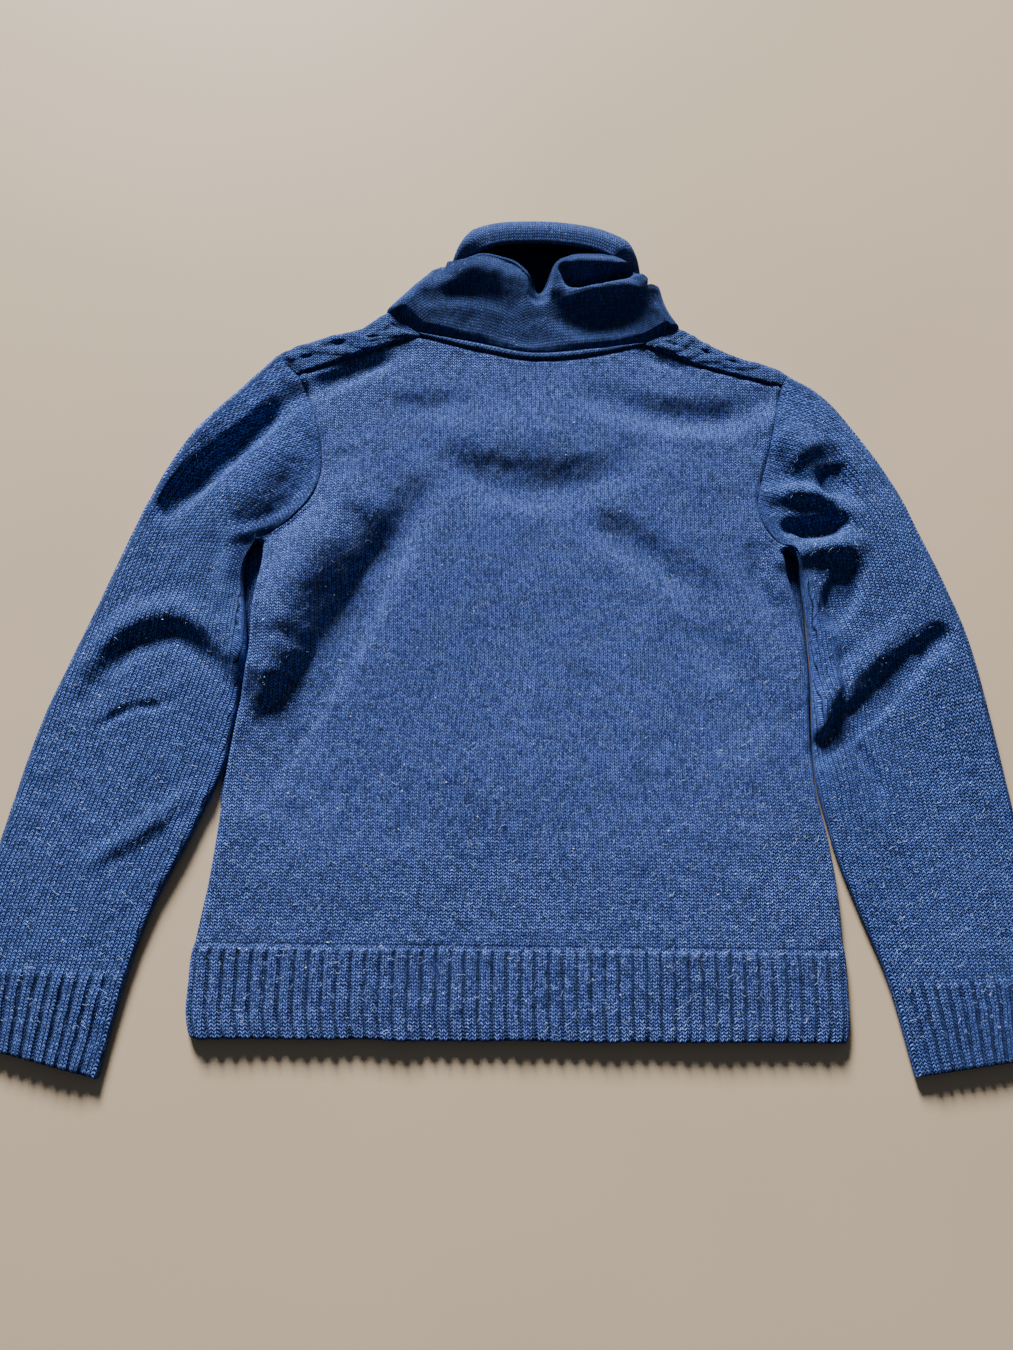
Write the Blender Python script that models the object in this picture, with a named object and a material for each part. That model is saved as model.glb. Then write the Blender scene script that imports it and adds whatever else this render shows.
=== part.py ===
"""A knitted pullover sweater lying flat on its front, back side up, neck towards +Y.

The garment is a set of knitted walls: a front that lies face down and folds over both
shoulders, a back that lies on it, two flattened sleeve tubes, a neckband and a crumpled
funnel collar. Tables are in millimetres, measured from the middle of the hem: x to the
right, y towards the neck, z up from the floor. Everything is built from these and placed
with its origin under the middle of the garment.
"""

import functools
import math
from collections import namedtuple

import bmesh
import bpy
import numpy as np

MM = 0.001

# ---------------------------------------------------------------- driving sizes, in millimetres
CLOTH = 2.8              # wall of the thick knit
SEAM = 0.3               # gap between two pieces at a seam
SIDE_CLEAR = 0.8         # gap between a sleeve and the side of the body that it lies against
POCKET_CLEAR = 3.2       # the same where the front's edge fills the pocket at an underarm
BAND_CLEAR = 0.8         # gap at the neckband's two ends
LOWEST = 6.2             # two walls and the air between them: the lowest that a top wall lies
SOFTEN = 0.8             # how softly a fold bottoms out on the wall below
STEEPEST = 1.8           # most that a sloping wall thickens when measured straight down

RIB_TOP = 68.0           # height of the hem's rib band
RIB_FADE = 4.0           # length over which a rib runs out into plain knit
RIB_RISE = 1.3           # how far a rib stands up from the furrow beside it
RIB_FURROW = 0.12        # share of a rib's width that the furrow takes on each side of it
RIB_POINTS = (0, 0.2, 0.5, 0.8)  # a rib's furrow, two shoulders and crest, as shares of its width
HEM_RIBS = 46            # ribs across the back of the hem
CUFF_RIBS = 11           # ribs across the upper side of a cuff
EDGE_DROP = 0.9          # a hem's last row rounds down by this much
EDGE_STEP = 1.6          # and over this length
EDGE_RIB = 0.5           # share of its rise that a rib keeps at the very edge
UNDERSIDE_DROP = 0.8     # share of the drop that the underside of a cuff's edge rises by

SHOULDER_INSET = 7.5     # how far in from an armhole the plain columns of the back start
UNDER_EDGE = 1.2         # the front's outer edge lifts off the floor by this much
UNDER_STEP = 2.5         # and over this length
FOLD_CORE = 0.2          # smallest radius left inside a folded edge

CABLE_RISE = 2.4         # how far a cable's strands stand up
CABLE_HALF = 5.5         # half the width of one strand
CABLE_ENDS = 1 / 12      # share of a strip's width over which its strands run out at each side
CABLE_LEAN = 0.6         # share of their rise that the strands have on the fold's slope

# ---------------------------------------------------------------- tables, in millimetres
Side = namedtuple("Side", "up left right")
BODY_SIDES = [
    Side(-2, -250, 252), Side(4, -253, 254.5), Side(14, -255.5, 256), Side(40, -256, 256.5),
    Side(66, -254.5, 256), Side(78, -250.5, 254.5), Side(100, -248, 254), Side(150, -243, 249),
    Side(200, -239.5, 240), Side(250, -234, 238.5), Side(300, -226.5, 240), Side(350, -224.5, 233),
    Side(388, -221, 224), Side(402, -222, 222),
]

Lift = namedtuple("Lift", "up height")
GARMENT_LIFT = [
    Lift(-60, 7.4), Lift(70, 7.6), Lift(200, 8.6), Lift(300, 10.5), Lift(400, 14.0),
    Lift(500, 16.5), Lift(560, 15.0), Lift(640, 15.0),
]
COLLAR_LIFT = [
    Lift(560, 15.0), Lift(590, 16.0), Lift(608, 19.5), Lift(625, 24.0), Lift(645, 28.0), Lift(680, 31.0),
]

Fold = namedtuple("Fold", "name height half path")
GARMENT_FOLDS = [
    Fold("left flank bump", 12, 42, [(-150, 412), (-172, 368), (-194, 330)]),
    Fold("left flank trough", -6, 24, [(-105, 452), (-134, 400), (-157, 353), (-169, 313), (-192, 263), (-222, 237)]),
    Fold("left yoke lift", 4, 40, [(-160, 500), (-140, 440)]),
    Fold("yoke hollow", -5.5, 26, [(-88, 508), (-68, 484), (-30, 468), (10, 460), (50, 470), (84, 496)]),
    Fold("yoke bulge", 4, 34, [(-42, 500), (34, 500)]),
    Fold("right shoulder hollow", -6, 24, [(58, 537), (107, 520), (157, 514), (198, 524)]),
    Fold("right chest hollow", -4, 26, [(56, 446), (98, 424), (143, 398)]),
    Fold("right waist hollow", -3, 32, [(117, 287), (166, 273), (205, 259)]),
    Fold("left yoke hollow", -3, 20, [(-105, 524), (-55, 528)]),
    Fold("left shoulder hollow", -6, 17, [(-186, 538), (-150, 560), (-112, 578)]),
    Fold("right neck hollow", -3, 12, [(112, 583), (146, 567)]),
    Fold("right armhole hollow", -3.5, 16, [(196, 392), (202, 362), (219, 338)]),
    Fold("low back swell", 1.6, 60, [(-60, 190), (40, 205)]),
    Fold("low left swell", 1.4, 48, [(-190, 150), (-150, 110)]),
    Fold("left sleeve rim", 9, 19, [(-238, 537), (-270, 497), (-293, 457), (-311, 421), (-328, 378)]),
    Fold("left sleeve hollow", -11, 25, [(-304, 434), (-284, 458), (-262, 488), (-238, 516), (-214, 538)]),
    Fold("left sleeve cap", 8, 36, [(-210, 492), (-232, 464), (-256, 434)]),
    Fold("left elbow ridge", 7, 17, [(-356, 290), (-331, 322), (-301, 334), (-273, 328), (-247, 302), (-238, 282)]),
    Fold("left elbow trough", -7, 14, [(-352, 268), (-330, 296), (-303, 308), (-272, 299), (-252, 286)]),
    Fold("left elbow crease", -3, 8, [(-344, 235), (-315, 252), (-292, 256)]),
    Fold("left forearm fold", 3.5, 13, [(-335, 134), (-297, 157), (-272, 180)]),
    Fold("left inner fold", 6, 15, [(-248, 392), (-248, 350), (-238, 312)]),
    Fold("left underarm seam", 3, 9, [(-246, 400), (-222, 410), (-194, 427), (-180, 450)]),
    Fold("right sleeve cap", 5, 26, [(226, 492), (236, 464), (256, 444)]),
    Fold("right cap dip", -12, 24, [(260, 492), (269, 474), (277, 458)]),
    Fold("right pocket", -16, 12, [(226, 415), (250, 420), (272, 427)]),
    Fold("right pocket upper lip", 7, 13, [(226, 452), (254, 450), (278, 438)]),
    Fold("right pocket lower lip", 6, 11, [(230, 402), (256, 405), (278, 413)]),
    Fold("right arm dip", -11, 19, [(262, 388), (266, 374), (259, 359)]),
    Fold("right inner fold", 7, 15, [(236, 392), (246, 360), (252, 325), (254, 285), (248, 250)]),
    Fold("right elbow trough", -10, 15, [(246, 232), (271, 249), (299, 284), (334, 309)]),
    Fold("right elbow ridge", 4, 18, [(262, 268), (288, 303), (318, 330)]),
    Fold("right elbow crease", -3.5, 9, [(285, 240), (297, 220), (308, 188)]),
    Fold("right outer swell", 4, 34, [(318, 420), (342, 350), (358, 270)]),
]
COLLAR_FOLDS = [
    Fold("turned roll", 8, 11, [(112, 633), (90, 641), (66, 633), (42, 630), (28, 638), (25, 652),
                                (36, 664), (54, 667), (76, 666), (94, 659), (108, 647)]),
    Fold("roll pocket", -15, 10, [(46, 646), (68, 647), (88, 655), (101, 650)]),
    Fold("roll shadow", -6, 12, [(22, 620), (33, 609), (56, 606), (85, 611), (106, 618)]),
    Fold("mouth notch", -24, 15, [(10, 672), (8, 646), (4, 624)]),
    Fold("left lump", 5, 17, [(-62, 649), (-45, 655), (-29, 648)]),
    Fold("left collar hollow", -3.5, 13, [(-80, 628), (-50, 632), (-20, 625)]),
]

# Seams in plan. An armhole runs from the shoulder's fold to the underarm, in two stretches.
ARMHOLE_CAP = {"left": [(-222, 574), (-211, 564), (-200, 553.5)],
               "right": [(235, 568), (231.5, 561.5), (228, 554)]}
ARMHOLE_BACK = {"left": [(-200, 553.5), (-192, 538), (-183.5, 515), (-176, 484), (-175.5, 458),
                         (-183, 436), (-199, 418), (-217, 406), (-229, 399)],
                "right": [(228, 554), (223.5, 538), (218, 515), (212, 486), (204.5, 458),
                          (201.5, 440), (207, 420), (216, 408), (227, 400)]}
SHOULDER_SEAM = {"left": [(-200, 553.5), (-151, 573), (-120, 586), (-92, 594.7)],
                 "right": [(102.5, 590.8), (122, 585), (148.6, 573.5), (184, 564), (228, 554)]}
SHOULDER_FOLD = {"left": [(-222, 574), (-198, 585), (-175, 594), (-148, 602), (-126, 620)],
                 "right": [(235, 568), (214, 577), (191, 583), (162, 597), (139, 612)]}
NECK_LOWER = [(-92, 594.7), (-48, 583), (4, 574), (56, 579), (102.5, 590.8)]
NECK_UPPER = [(-97.5, 599), (-48, 591), (4, 581.5), (56, 586.5), (108.5, 594.3)]
FRONT_NECK = [(-95, 572), (-55, 535), (8, 520), (70, 533), (112, 568)]
COLLAR_SIDE = {"left": [(-126, 620), (-112, 634), (-98, 648), (-82, 664)],
               "right": [(139, 612), (129, 626), (123, 640), (119, 652)]}
BACK_RIM = [(-82, 661), (-62, 661), (-45, 667), (-28, 662), (-12, 650), (3, 640), (11, 637),
            (18, 646), (28, 661), (54, 667), (76, 667), (93, 659), (106, 650), (119, 648)]
FRONT_RIM = [(-82, 664), (-53, 691), (-24, 702.5), (4, 705.5), (38, 703.5), (72, 696), (97, 677), (119, 652)]

Station = namedtuple("Station", "rings outer_x outer_y inner_x inner_y")
SLEEVES = {
    "left": [
        Station(2, -222, 574, -229, 399), Station(2, -251, 541, -235, 395.5), Station(3, -286, 500, -237.5, 379),
        Station(3, -309, 460, -235, 355), Station(3, -327, 419, -231, 330), Station(3, -350, 355, -228, 296),
        Station(3, -373, 291, -233, 255), Station(3, -391, 238, -240, 210), Station(2, -408, 163, -262, 152),
        Station(1, -420, 100, -286, 99), Station(1, -425, 50, -302, 46), Station(0, -423, -4, -317, -30),
    ],
    "right": [
        Station(2, 235, 568, 227, 400), Station(2, 266, 547, 232.5, 396.5), Station(3, 295, 509, 236, 380),
        Station(3, 325, 460, 238, 352), Station(3, 342, 419, 240, 328), Station(3, 363, 367, 241, 296),
        Station(3, 380, 314, 239.6, 258), Station(3, 396, 221, 240, 206), Station(2, 405, 149, 252, 148),
        Station(1, 408, 100, 268, 101), Station(1, 407, 49, 288, 46), Station(0, 403, -9, 304, -24),
    ],
}

# A cable's strands where they come over the shoulder.
CABLE_STRANDS = [
    [(-219, 566), (-196, 574), (-172, 590)], [(-205, 582), (-184, 578), (-160, 576)],
    [(-172, 590), (-158, 588), (-140, 582)], [(-160, 592), (-146, 590), (-128, 594), (-102, 598)],
    [(-150, 584), (-130, 600), (-118, 612)], [(140, 606), (124, 598), (108, 594)],
    [(150, 600), (134, 588), (118, 590)], [(162, 592), (152, 584), (140, 580)],
    [(184, 580), (172, 578), (156, 578)], [(206, 574), (194, 572), (178, 574)],
]

# How many stretches each run of points is cut into.
CAP_PARTS = 2
ARMHOLE_PARTS = 12
SHOULDER_PARTS = {"left": 8, "right": 9}
NECK_PARTS = 16
FRONT_NECK_PARTS = 12
LOBE_ROWS = 4            # rows of a shoulder lobe on the floor, up from the neckline's low stretch
LOBE_COLUMNS = 4         # stretches across a lobe, from the armhole to the neckline
SHOULDER_FOLD_PARTS = 8
SEAM_PULL = 0.1          # share of a shoulder strip that follows the armhole's curve
NECK_BOW = 0.8           # share of the neckline's curve that the front's rows below it take on
EDGE_SHARE = 0.02        # the front's second column, as a share of its width
TURNED = 3               # columns at each side of the back that turn down onto the front
CURVED_STATIONS = 4      # sleeve stations over which the armhole's curve runs out
BESIDE_BODY = (160, 399) # heights between which a sleeve lies against the body
CORNER_SHARE = 0.2       # share of the collar's width that its rounded corners pull on
UNDER_PARTS = 5          # stretches across a sleeve's flat underside
CABLE_PARTS = 3          # a strip's columns for each stretch of its seam
FOLD_SAMPLES = 4         # points along a fold for each point of its path
PLAIN_ROWS = [69.5, 102, 138, 172, 205, 235, 262, 286, 308, 330, 350, 369, 387]
FRONT_ROWS = [0, 1.4, 40, 69.5, 120, 172, 205, 245, 286, 318, 340, 360, 376, 389]
POCKET_BASE = 305        # above this the front's edge reaches out to the sleeve's
STRIP_ROWS = [0.25, 0.5, 0.75, 1.0]
ROLL_ANGLES = np.radians([45, 0, -45])

BandRow = namedtuple("BandRow", "across rise")
BAND_ROWS = [BandRow(0, 0.0), BandRow(0.3, 1.8), BandRow(0.7, 1.8), BandRow(1, 0.3)]

# Rows of the collar: the share of the way up, how far in and up the front rim's roll is there,
# how far the back rim's roll tucks in and sinks, and how far its two side edges draw in.
CollarRow = namedtuple("CollarRow", "share inward lift tuck sink draw")
COLLAR_ROWS = [
    CollarRow(0.0, 0, 0, 0, 0, 0), CollarRow(0.2, 0, 0, 0, 0, 0), CollarRow(0.4, 0, 0, 0, 0, 0),
    CollarRow(0.58, 0, 0, 0, 0, 0), CollarRow(0.74, 0, 0, 0, 0, 0), CollarRow(0.86, 0, 0, 0, 0, 0),
    CollarRow(0.94, 4, 3, 0, 0, 3.2), CollarRow(0.97, 0, 14, 0, 0, 2.4), CollarRow(1.0, 2.5, 26, 0, 0, 1.6),
    CollarRow(1.0, 9.5, 33, 2.0, 2.5, 0.8), CollarRow(1.0, 17, 30, 3.2, 8.0, 0),
]

Row = namedtuple("Row", "keys points")
OUTWARD = {"left": -1, "right": 1}


# ---------------------------------------------------------------- curves and heights
def smooth(keys, values, at):
    """Values at the given places of a smooth curve through (key, value) pairs."""
    keys = np.asarray(keys, float)
    values = np.asarray(values, float)
    slopes = np.gradient(values, keys)
    at = np.clip(at, keys[0], keys[-1])
    cell = np.clip(np.searchsorted(keys, at) - 1, 0, len(keys) - 2)
    span = keys[cell + 1] - keys[cell]
    t = (at - keys[cell]) / span
    rest = 1 - t
    return ((1 + 2 * t) * rest ** 2 * values[cell] + t * rest ** 2 * span * slopes[cell]
            + t * t * (3 - 2 * t) * values[cell + 1] - t * t * rest * span * slopes[cell + 1])


def column(table, name, at):
    """One column of a table, read smoothly at the given heights."""
    return smooth([row.up for row in table], [getattr(row, name) for row in table], at)


def curve(path, fractions):
    """Points at fractions of the way along a smooth curve through a path's points."""
    path = np.asarray(path, float)
    steps = np.hypot(*np.diff(path, axis=0).T)
    keys = np.concatenate([[0], np.cumsum(steps)]) / steps.sum()
    fractions = np.asarray(fractions, float)
    return np.stack([smooth(keys, path[:, axis], fractions) for axis in range(path.shape[1])], axis=1)


def ease(t):
    """A soft step from 0 to 1."""
    t = np.clip(t, 0, 1)
    return t * t * (3 - 2 * t)


@functools.cache
def fold_line(path):
    """Closely spaced points along the smooth curve through a fold's path."""
    return curve(path, np.linspace(0, 1, FOLD_SAMPLES * (len(path) - 1) + 1))


def swell(x, y, path, half):
    """A soft ridge of height 1 along a path: a cosine across it, running out at both ends."""
    line = fold_line(tuple(path))
    nearest = np.full(np.shape(x), np.inf)
    for start, end in zip(line[:-1], line[1:]):
        run = end - start
        t = np.clip(((x - start[0]) * run[0] + (y - start[1]) * run[1]) / (run @ run), 0, 1)
        nearest = np.minimum(nearest, np.hypot(x - start[0] - t * run[0], y - start[1] - t * run[1]))
    return (1 + np.cos(np.pi * np.clip(nearest / half, 0, 1))) / 2


def height(x, y, lift, folds):
    """Top of a wall over the floor at plan points: its lift and folds, never below the wall under it."""
    x = np.asarray(x, float)
    y = np.asarray(y, float)
    top = column(lift, "height", y)
    for fold in folds:
        top = top + fold.height * swell(x, y, fold.path, fold.half)
    return LOWEST + SOFTEN * np.logaddexp(0, (top - LOWEST) / SOFTEN)


def garment_top(x, y):
    return height(x, y, GARMENT_LIFT, GARMENT_FOLDS)


def collar_top(x, y):
    return height(x, y, COLLAR_LIFT, COLLAR_FOLDS)


def underneath(plan, top, surface):
    """Heights of a wall's inner side: the cloth's thickness below its top, square to the slope."""
    x, y = plan.T
    slope = np.hypot(surface(x + 1, y) - surface(x - 1, y), surface(x, y + 1) - surface(x, y - 1)) / 2
    thick = CLOTH * np.minimum(np.sqrt(1 + slope ** 2), STEEPEST)
    return np.maximum(top - thick, CLOTH + SEAM)


def raised(plan, heights):
    """Plan points with their heights."""
    return np.column_stack([plan, np.broadcast_to(heights, len(plan))])


def unit(vector):
    return vector / np.linalg.norm(vector)


def sideways(path):
    """Offsets to the left of a plan path at its points, that move each stretch by exactly 1."""
    run = np.diff(path, axis=0)
    normals = np.column_stack([-run[:, 1], run[:, 0]]) / np.hypot(*run.T)[:, None]
    before = np.vstack([normals[:1], normals])
    after = np.vstack([normals, normals[-1:]])
    return (before + after) / (1 + np.sum(before * after, axis=1))[:, None]


def ribs(fraction, count, drop):
    """Rise of ribs across a band: flat-topped ridges parted by narrow furrows, lower at a dropped edge."""
    phase = fraction * count % 1
    crest = (phase > RIB_FURROW) & (phase < 1 - RIB_FURROW)
    return RIB_RISE * (EDGE_RIB if drop else 1) * crest


def rib_fractions(count):
    """Places across a band at each rib's furrow, two shoulders and crest."""
    return np.unique(np.concatenate([[0, 1], *[(n + np.array(RIB_POINTS)) / count for n in range(count)]]))


# ---------------------------------------------------------------- solids
class Wall:
    """Points and faces of one closed wall, gathered row by row."""

    def __init__(self):
        self.points = []
        self.faces = []

    def row(self, row):
        """Add a row of points and give their (key, number) pairs."""
        start = len(self.points)
        self.points.extend(map(tuple, row.points))
        return [(key, start + n) for n, key in enumerate(row.keys)]

    def strip(self, a, b):
        """Faces between two rows whose counts may differ, paired by their keys."""
        i = j = 0
        while i < len(a) - 1 or j < len(b) - 1:
            next_a = a[i + 1][0] if i < len(a) - 1 else math.inf
            next_b = b[j + 1][0] if j < len(b) - 1 else math.inf
            if abs(next_a - next_b) < 1e-6:
                self.faces.append((a[i][1], a[i + 1][1], b[j + 1][1], b[j][1]))
                i, j = i + 1, j + 1
            elif next_a < next_b:
                self.faces.append((a[i][1], a[i + 1][1], b[j][1]))
                i += 1
            else:
                self.faces.append((a[i][1], b[j + 1][1], b[j][1]))
                j += 1

    def strips(self, rows):
        for a, b in zip(rows, rows[1:]):
            self.strip(a, b)

    def side(self, outer, inner, end):
        """Faces between the outer and the inner rows at one end of them."""
        for a, b, c, d in zip(outer, outer[1:], inner[1:], inner):
            self.faces.append((a[end][1], b[end][1], c[end][1], d[end][1]))


def build(name, wall, colour, middle):
    """Make a wall into an object, with its faces out and its cloth."""
    mesh = bpy.data.meshes.new(name)
    points = (np.array(wall.points) - np.array([*middle, 0])) * MM
    mesh.from_pydata(points.tolist(), [], wall.faces)
    mesh.validate()
    shape = bmesh.new()
    shape.from_mesh(mesh)
    bmesh.ops.recalc_face_normals(shape, faces=shape.faces)
    bmesh.ops.triangulate(shape, faces=shape.faces)
    shape.to_mesh(mesh)
    shape.free()
    mesh.shade_smooth()
    mesh.materials.append(knit_material(name + "_knit", colour))
    piece = bpy.data.objects.new(name, mesh)
    bpy.context.scene.collection.objects.link(piece)
    return piece


def knit_material(name, colour):
    material = bpy.data.materials.new(name)
    material.use_nodes = True
    shader = material.node_tree.nodes["Principled BSDF"]
    shader.inputs["Base Color"].default_value = (*colour, 1)
    shader.inputs["Roughness"].default_value = 0.9
    shader.inputs["Metallic"].default_value = 0.0
    return material


def panel(outer, inner):
    """An open wall from matching outer and inner rows."""
    wall = Wall()
    outer = [wall.row(row) for row in outer]
    inner = [wall.row(row) for row in inner]
    wall.strips(outer)
    wall.strips(inner)
    wall.strip(outer[0], inner[0])
    wall.strip(outer[-1], inner[-1])
    wall.side(outer, inner, 0)
    wall.side(outer, inner, -1)
    return wall


def tube(outer, inner, period):
    """A wall closed round from rings, open at both ends."""
    wall = Wall()
    outer = [wall.row(row) for row in outer]
    inner = [wall.row(row) for row in inner]
    for ring in (*outer, *inner):
        ring.append((period, ring[0][1]))
    wall.strips(outer)
    wall.strips(inner)
    wall.strip(outer[0], inner[0])
    wall.strip(outer[-1], inner[-1])
    return wall


def roll(centre, outward, radius):
    """Outer and inner points of a folded edge, from its top to its underside."""
    rows = []
    for size in (radius, max(radius - CLOTH, FOLD_CORE)):
        plan = centre + np.outer(size * np.cos(ROLL_ANGLES), outward)
        rows.append(raised(plan, radius + size * np.sin(ROLL_ANGLES)))
    return rows


# ---------------------------------------------------------------- shared seams
def armhole(side):
    """Seam points from the shoulder's fold to the underarm."""
    cap = curve(ARMHOLE_CAP[side], np.linspace(0, 1, CAP_PARTS + 1))
    rest = curve(ARMHOLE_BACK[side], np.linspace(0, 1, ARMHOLE_PARTS + 1))
    return np.vstack([cap, rest[1:]])


def seam_columns(side):
    """Fractions of a shoulder seam at the back's columns, closer beside the armhole."""
    length = np.hypot(*np.diff(np.array(SHOULDER_SEAM[side]), axis=0).T).sum()
    edge = SHOULDER_INSET / length
    plain = np.linspace(edge, 1, SHOULDER_PARTS[side] + 1)
    fractions = np.concatenate([[0, edge / 3, edge * 2 / 3], plain])
    return fractions if side == "left" else 1 - fractions[::-1]


def shoulder_seam(side):
    return curve(SHOULDER_SEAM[side], seam_columns(side))


def neck_lower():
    return curve(NECK_LOWER, np.linspace(0, 1, NECK_PARTS + 1))


def neck_upper():
    return curve(NECK_UPPER, np.linspace(0, 1, NECK_PARTS + 1))


def edge_centre(edge, inner, surface):
    """Where a folded edge's round begins: its centre in plan, its outward direction and radius."""
    outward = unit(np.asarray(edge, float) - inner)
    radius = float(surface(*edge)) / 2
    centre = edge - outward * radius
    radius = float(surface(*centre)) / 2
    return edge - outward * radius, outward, radius


def armhole_fold(side):
    points = armhole(side)
    return edge_centre(points[0], points[1], garment_top)


NECK_CORNER = {"left": (NECK_UPPER[0], FRONT_NECK[0]), "right": (NECK_UPPER[-1], FRONT_NECK[-1])}


def neck_fold(side):
    """The shoulder fold's round at the neck, shared by the front's lobe and the collar."""
    edge = np.array(COLLAR_SIDE[side][0], float)
    top, under = NECK_CORNER[side]
    inner = edge + unit(unit(np.array(top) - edge) + unit(np.array(under) - edge))
    return edge_centre(edge, inner, garment_top)


def front_neck():
    """The front's neckline on the floor, from the left side of the neck to the right."""
    ends = [neck_fold(side)[0] for side in ("left", "right")]
    return curve([ends[0], *FRONT_NECK, ends[1]], np.linspace(0, 1, FRONT_NECK_PARTS + 1))


# ---------------------------------------------------------------- pieces
def top_line():
    """The back's upper edge: shoulder seam, neck and shoulder seam."""
    return np.vstack([shoulder_seam("left"), neck_lower()[1:-1], shoulder_seam("right")])


def back():
    line = top_line()
    steps = np.concatenate([[0], np.cumsum(np.hypot(*np.diff(line, axis=0).T))])
    across = steps / steps[-1]
    last = len(across) - 1
    keys = np.arange(last + 1.0)
    bend = line - (line[0] + np.outer(across, line[-1] - line[0]))
    armholes = {side: armhole(side)[CAP_PARTS:-1][::-1] for side in ("left", "right")}

    def plain_row(left, right, bending):
        plan = left + np.outer(across, right - left) + bending * bend
        return plan, garment_top(*plan.T)

    def side_row(up, rib, drop=0.0):
        """A row below the underarm, whose ends turn down onto the front."""
        left = np.array([column(BODY_SIDES, "left", up), up], float)
        right = np.array([column(BODY_SIDES, "right", up), up], float)
        plan, top = plain_row(left, right, 0)
        low = CLOTH + SEAM
        inner_plan = plan.copy()
        inner_top = underneath(plan, top, garment_top)
        for edge, order, inward in ((left, range(TURNED + 1), 1), (right, range(last, last - TURNED - 1, -1), -1)):
            radius = float(garment_top(edge[0] + inward * SHOULDER_INSET, up)) - low
            radius = min(radius, SHOULDER_INSET)
            full = float(garment_top(edge[0] + inward * radius, up))
            radius = min(radius, full - low)
            inside = radius - CLOTH
            slant = math.sqrt(0.5)
            outer_in = [0, 0, radius * (1 - slant), radius]
            outer_up = [low, full - radius, full - radius * (1 - slant), full]
            inner_in = [CLOTH, CLOTH, radius - inside * slant, radius]
            inner_up = [low, full - radius, full - radius + inside * slant, full - CLOTH]
            for n, place in enumerate(order):
                plan[place] = [edge[0] + inward * outer_in[n], up]
                top[place] = outer_up[n]
                inner_plan[place] = [edge[0] + inward * inner_in[n], up]
                inner_top[place] = inner_up[n]
        # the plain columns are evened out between the turned edges
        ends = [plan[TURNED][0], plan[last - TURNED][0]]
        spread = np.interp(keys, [TURNED, last - TURNED], ends)
        middle = slice(TURNED + 1, last - TURNED)
        plan[middle, 0] = inner_plan[middle, 0] = spread[middle]
        top[middle] = garment_top(*plan[middle].T)
        inner_top[middle] = underneath(plan[middle], top[middle], garment_top)
        top[TURNED:last - TURNED + 1] -= drop
        outer = raised(plan, top)
        inner = Row(keys, raised(inner_plan, inner_top))
        if not rib:
            return Row(keys, outer), inner
        fractions = rib_fractions(HEM_RIBS)
        fine = np.column_stack([np.interp(fractions, [0, 1], ends), np.full(len(fractions), up)])
        fine = raised(fine, garment_top(*fine.T) - drop + ribs(fractions, HEM_RIBS, drop))
        fine_keys = TURNED + fractions * (last - 2 * TURNED)
        return Row(np.concatenate([keys[:TURNED], fine_keys, keys[-TURNED:]]),
                   np.vstack([outer[:TURNED], fine, outer[-TURNED:]])), inner

    rows = [side_row(0, True, EDGE_DROP), side_row(EDGE_STEP, True), side_row(RIB_TOP - RIB_FADE, True)]
    rows += [side_row(up, False) for up in PLAIN_ROWS]
    for n, (left, right) in enumerate(zip(armholes["left"], armholes["right"])):
        plan, top = plain_row(left, right, ease((n + 1) / len(armholes["left"])))
        rows.append((Row(keys, raised(plan, top)), Row(keys, raised(plan, underneath(plan, top, garment_top)))))
    return panel(*zip(*rows))


def inner_edge(side, up):
    """Where the sleeve's inner edge passes, across the body, at heights above the hem."""
    stations = [s for s in SLEEVES[side] if s.inner_y > SLEEVES[side][-4].inner_y - 1][::-1]
    return smooth([s.inner_y for s in stations], [s.inner_x for s in stations], up)


def body_edge(side, up):
    return column(BODY_SIDES, side, up)


def sleeve_edge(side, up):
    """The sleeve's inner edge, held just clear of the body's."""
    out = OUTWARD[side]
    edge = inner_edge(side, up)
    return out * np.maximum(out * edge, out * body_edge(side, up) + SIDE_CLEAR)


def front_edge(side, up):
    """The front's edge: the body's, or further out where it closes the pocket at the underarm."""
    if up < POCKET_BASE:
        return float(body_edge(side, up))
    return float(sleeve_edge(side, up)) - OUTWARD[side] * POCKET_CLEAR


def strands(plan):
    """Rise of the cable's strands over the shoulder."""
    rise = np.zeros(len(plan))
    for path in CABLE_STRANDS:
        rise = np.maximum(rise, CABLE_RISE * np.sqrt(swell(*plan.T, path, CABLE_HALF)))
    return rise


def floor_row(left, right, keys, under_height=0.0):
    """A row of the front on the floor: outer points underneath, inner points on top."""
    span = right - left
    edge_share = UNDER_STEP / np.linalg.norm(span)
    fractions = np.clip(keys, edge_share, 1 - edge_share)
    fractions[0], fractions[-1] = 0, 1
    plan = left + np.outer(fractions, span)
    under = np.full(len(keys), under_height)
    under[0] = under[-1] = UNDER_EDGE
    return raised(plan, under), raised(plan, CLOTH)


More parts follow.
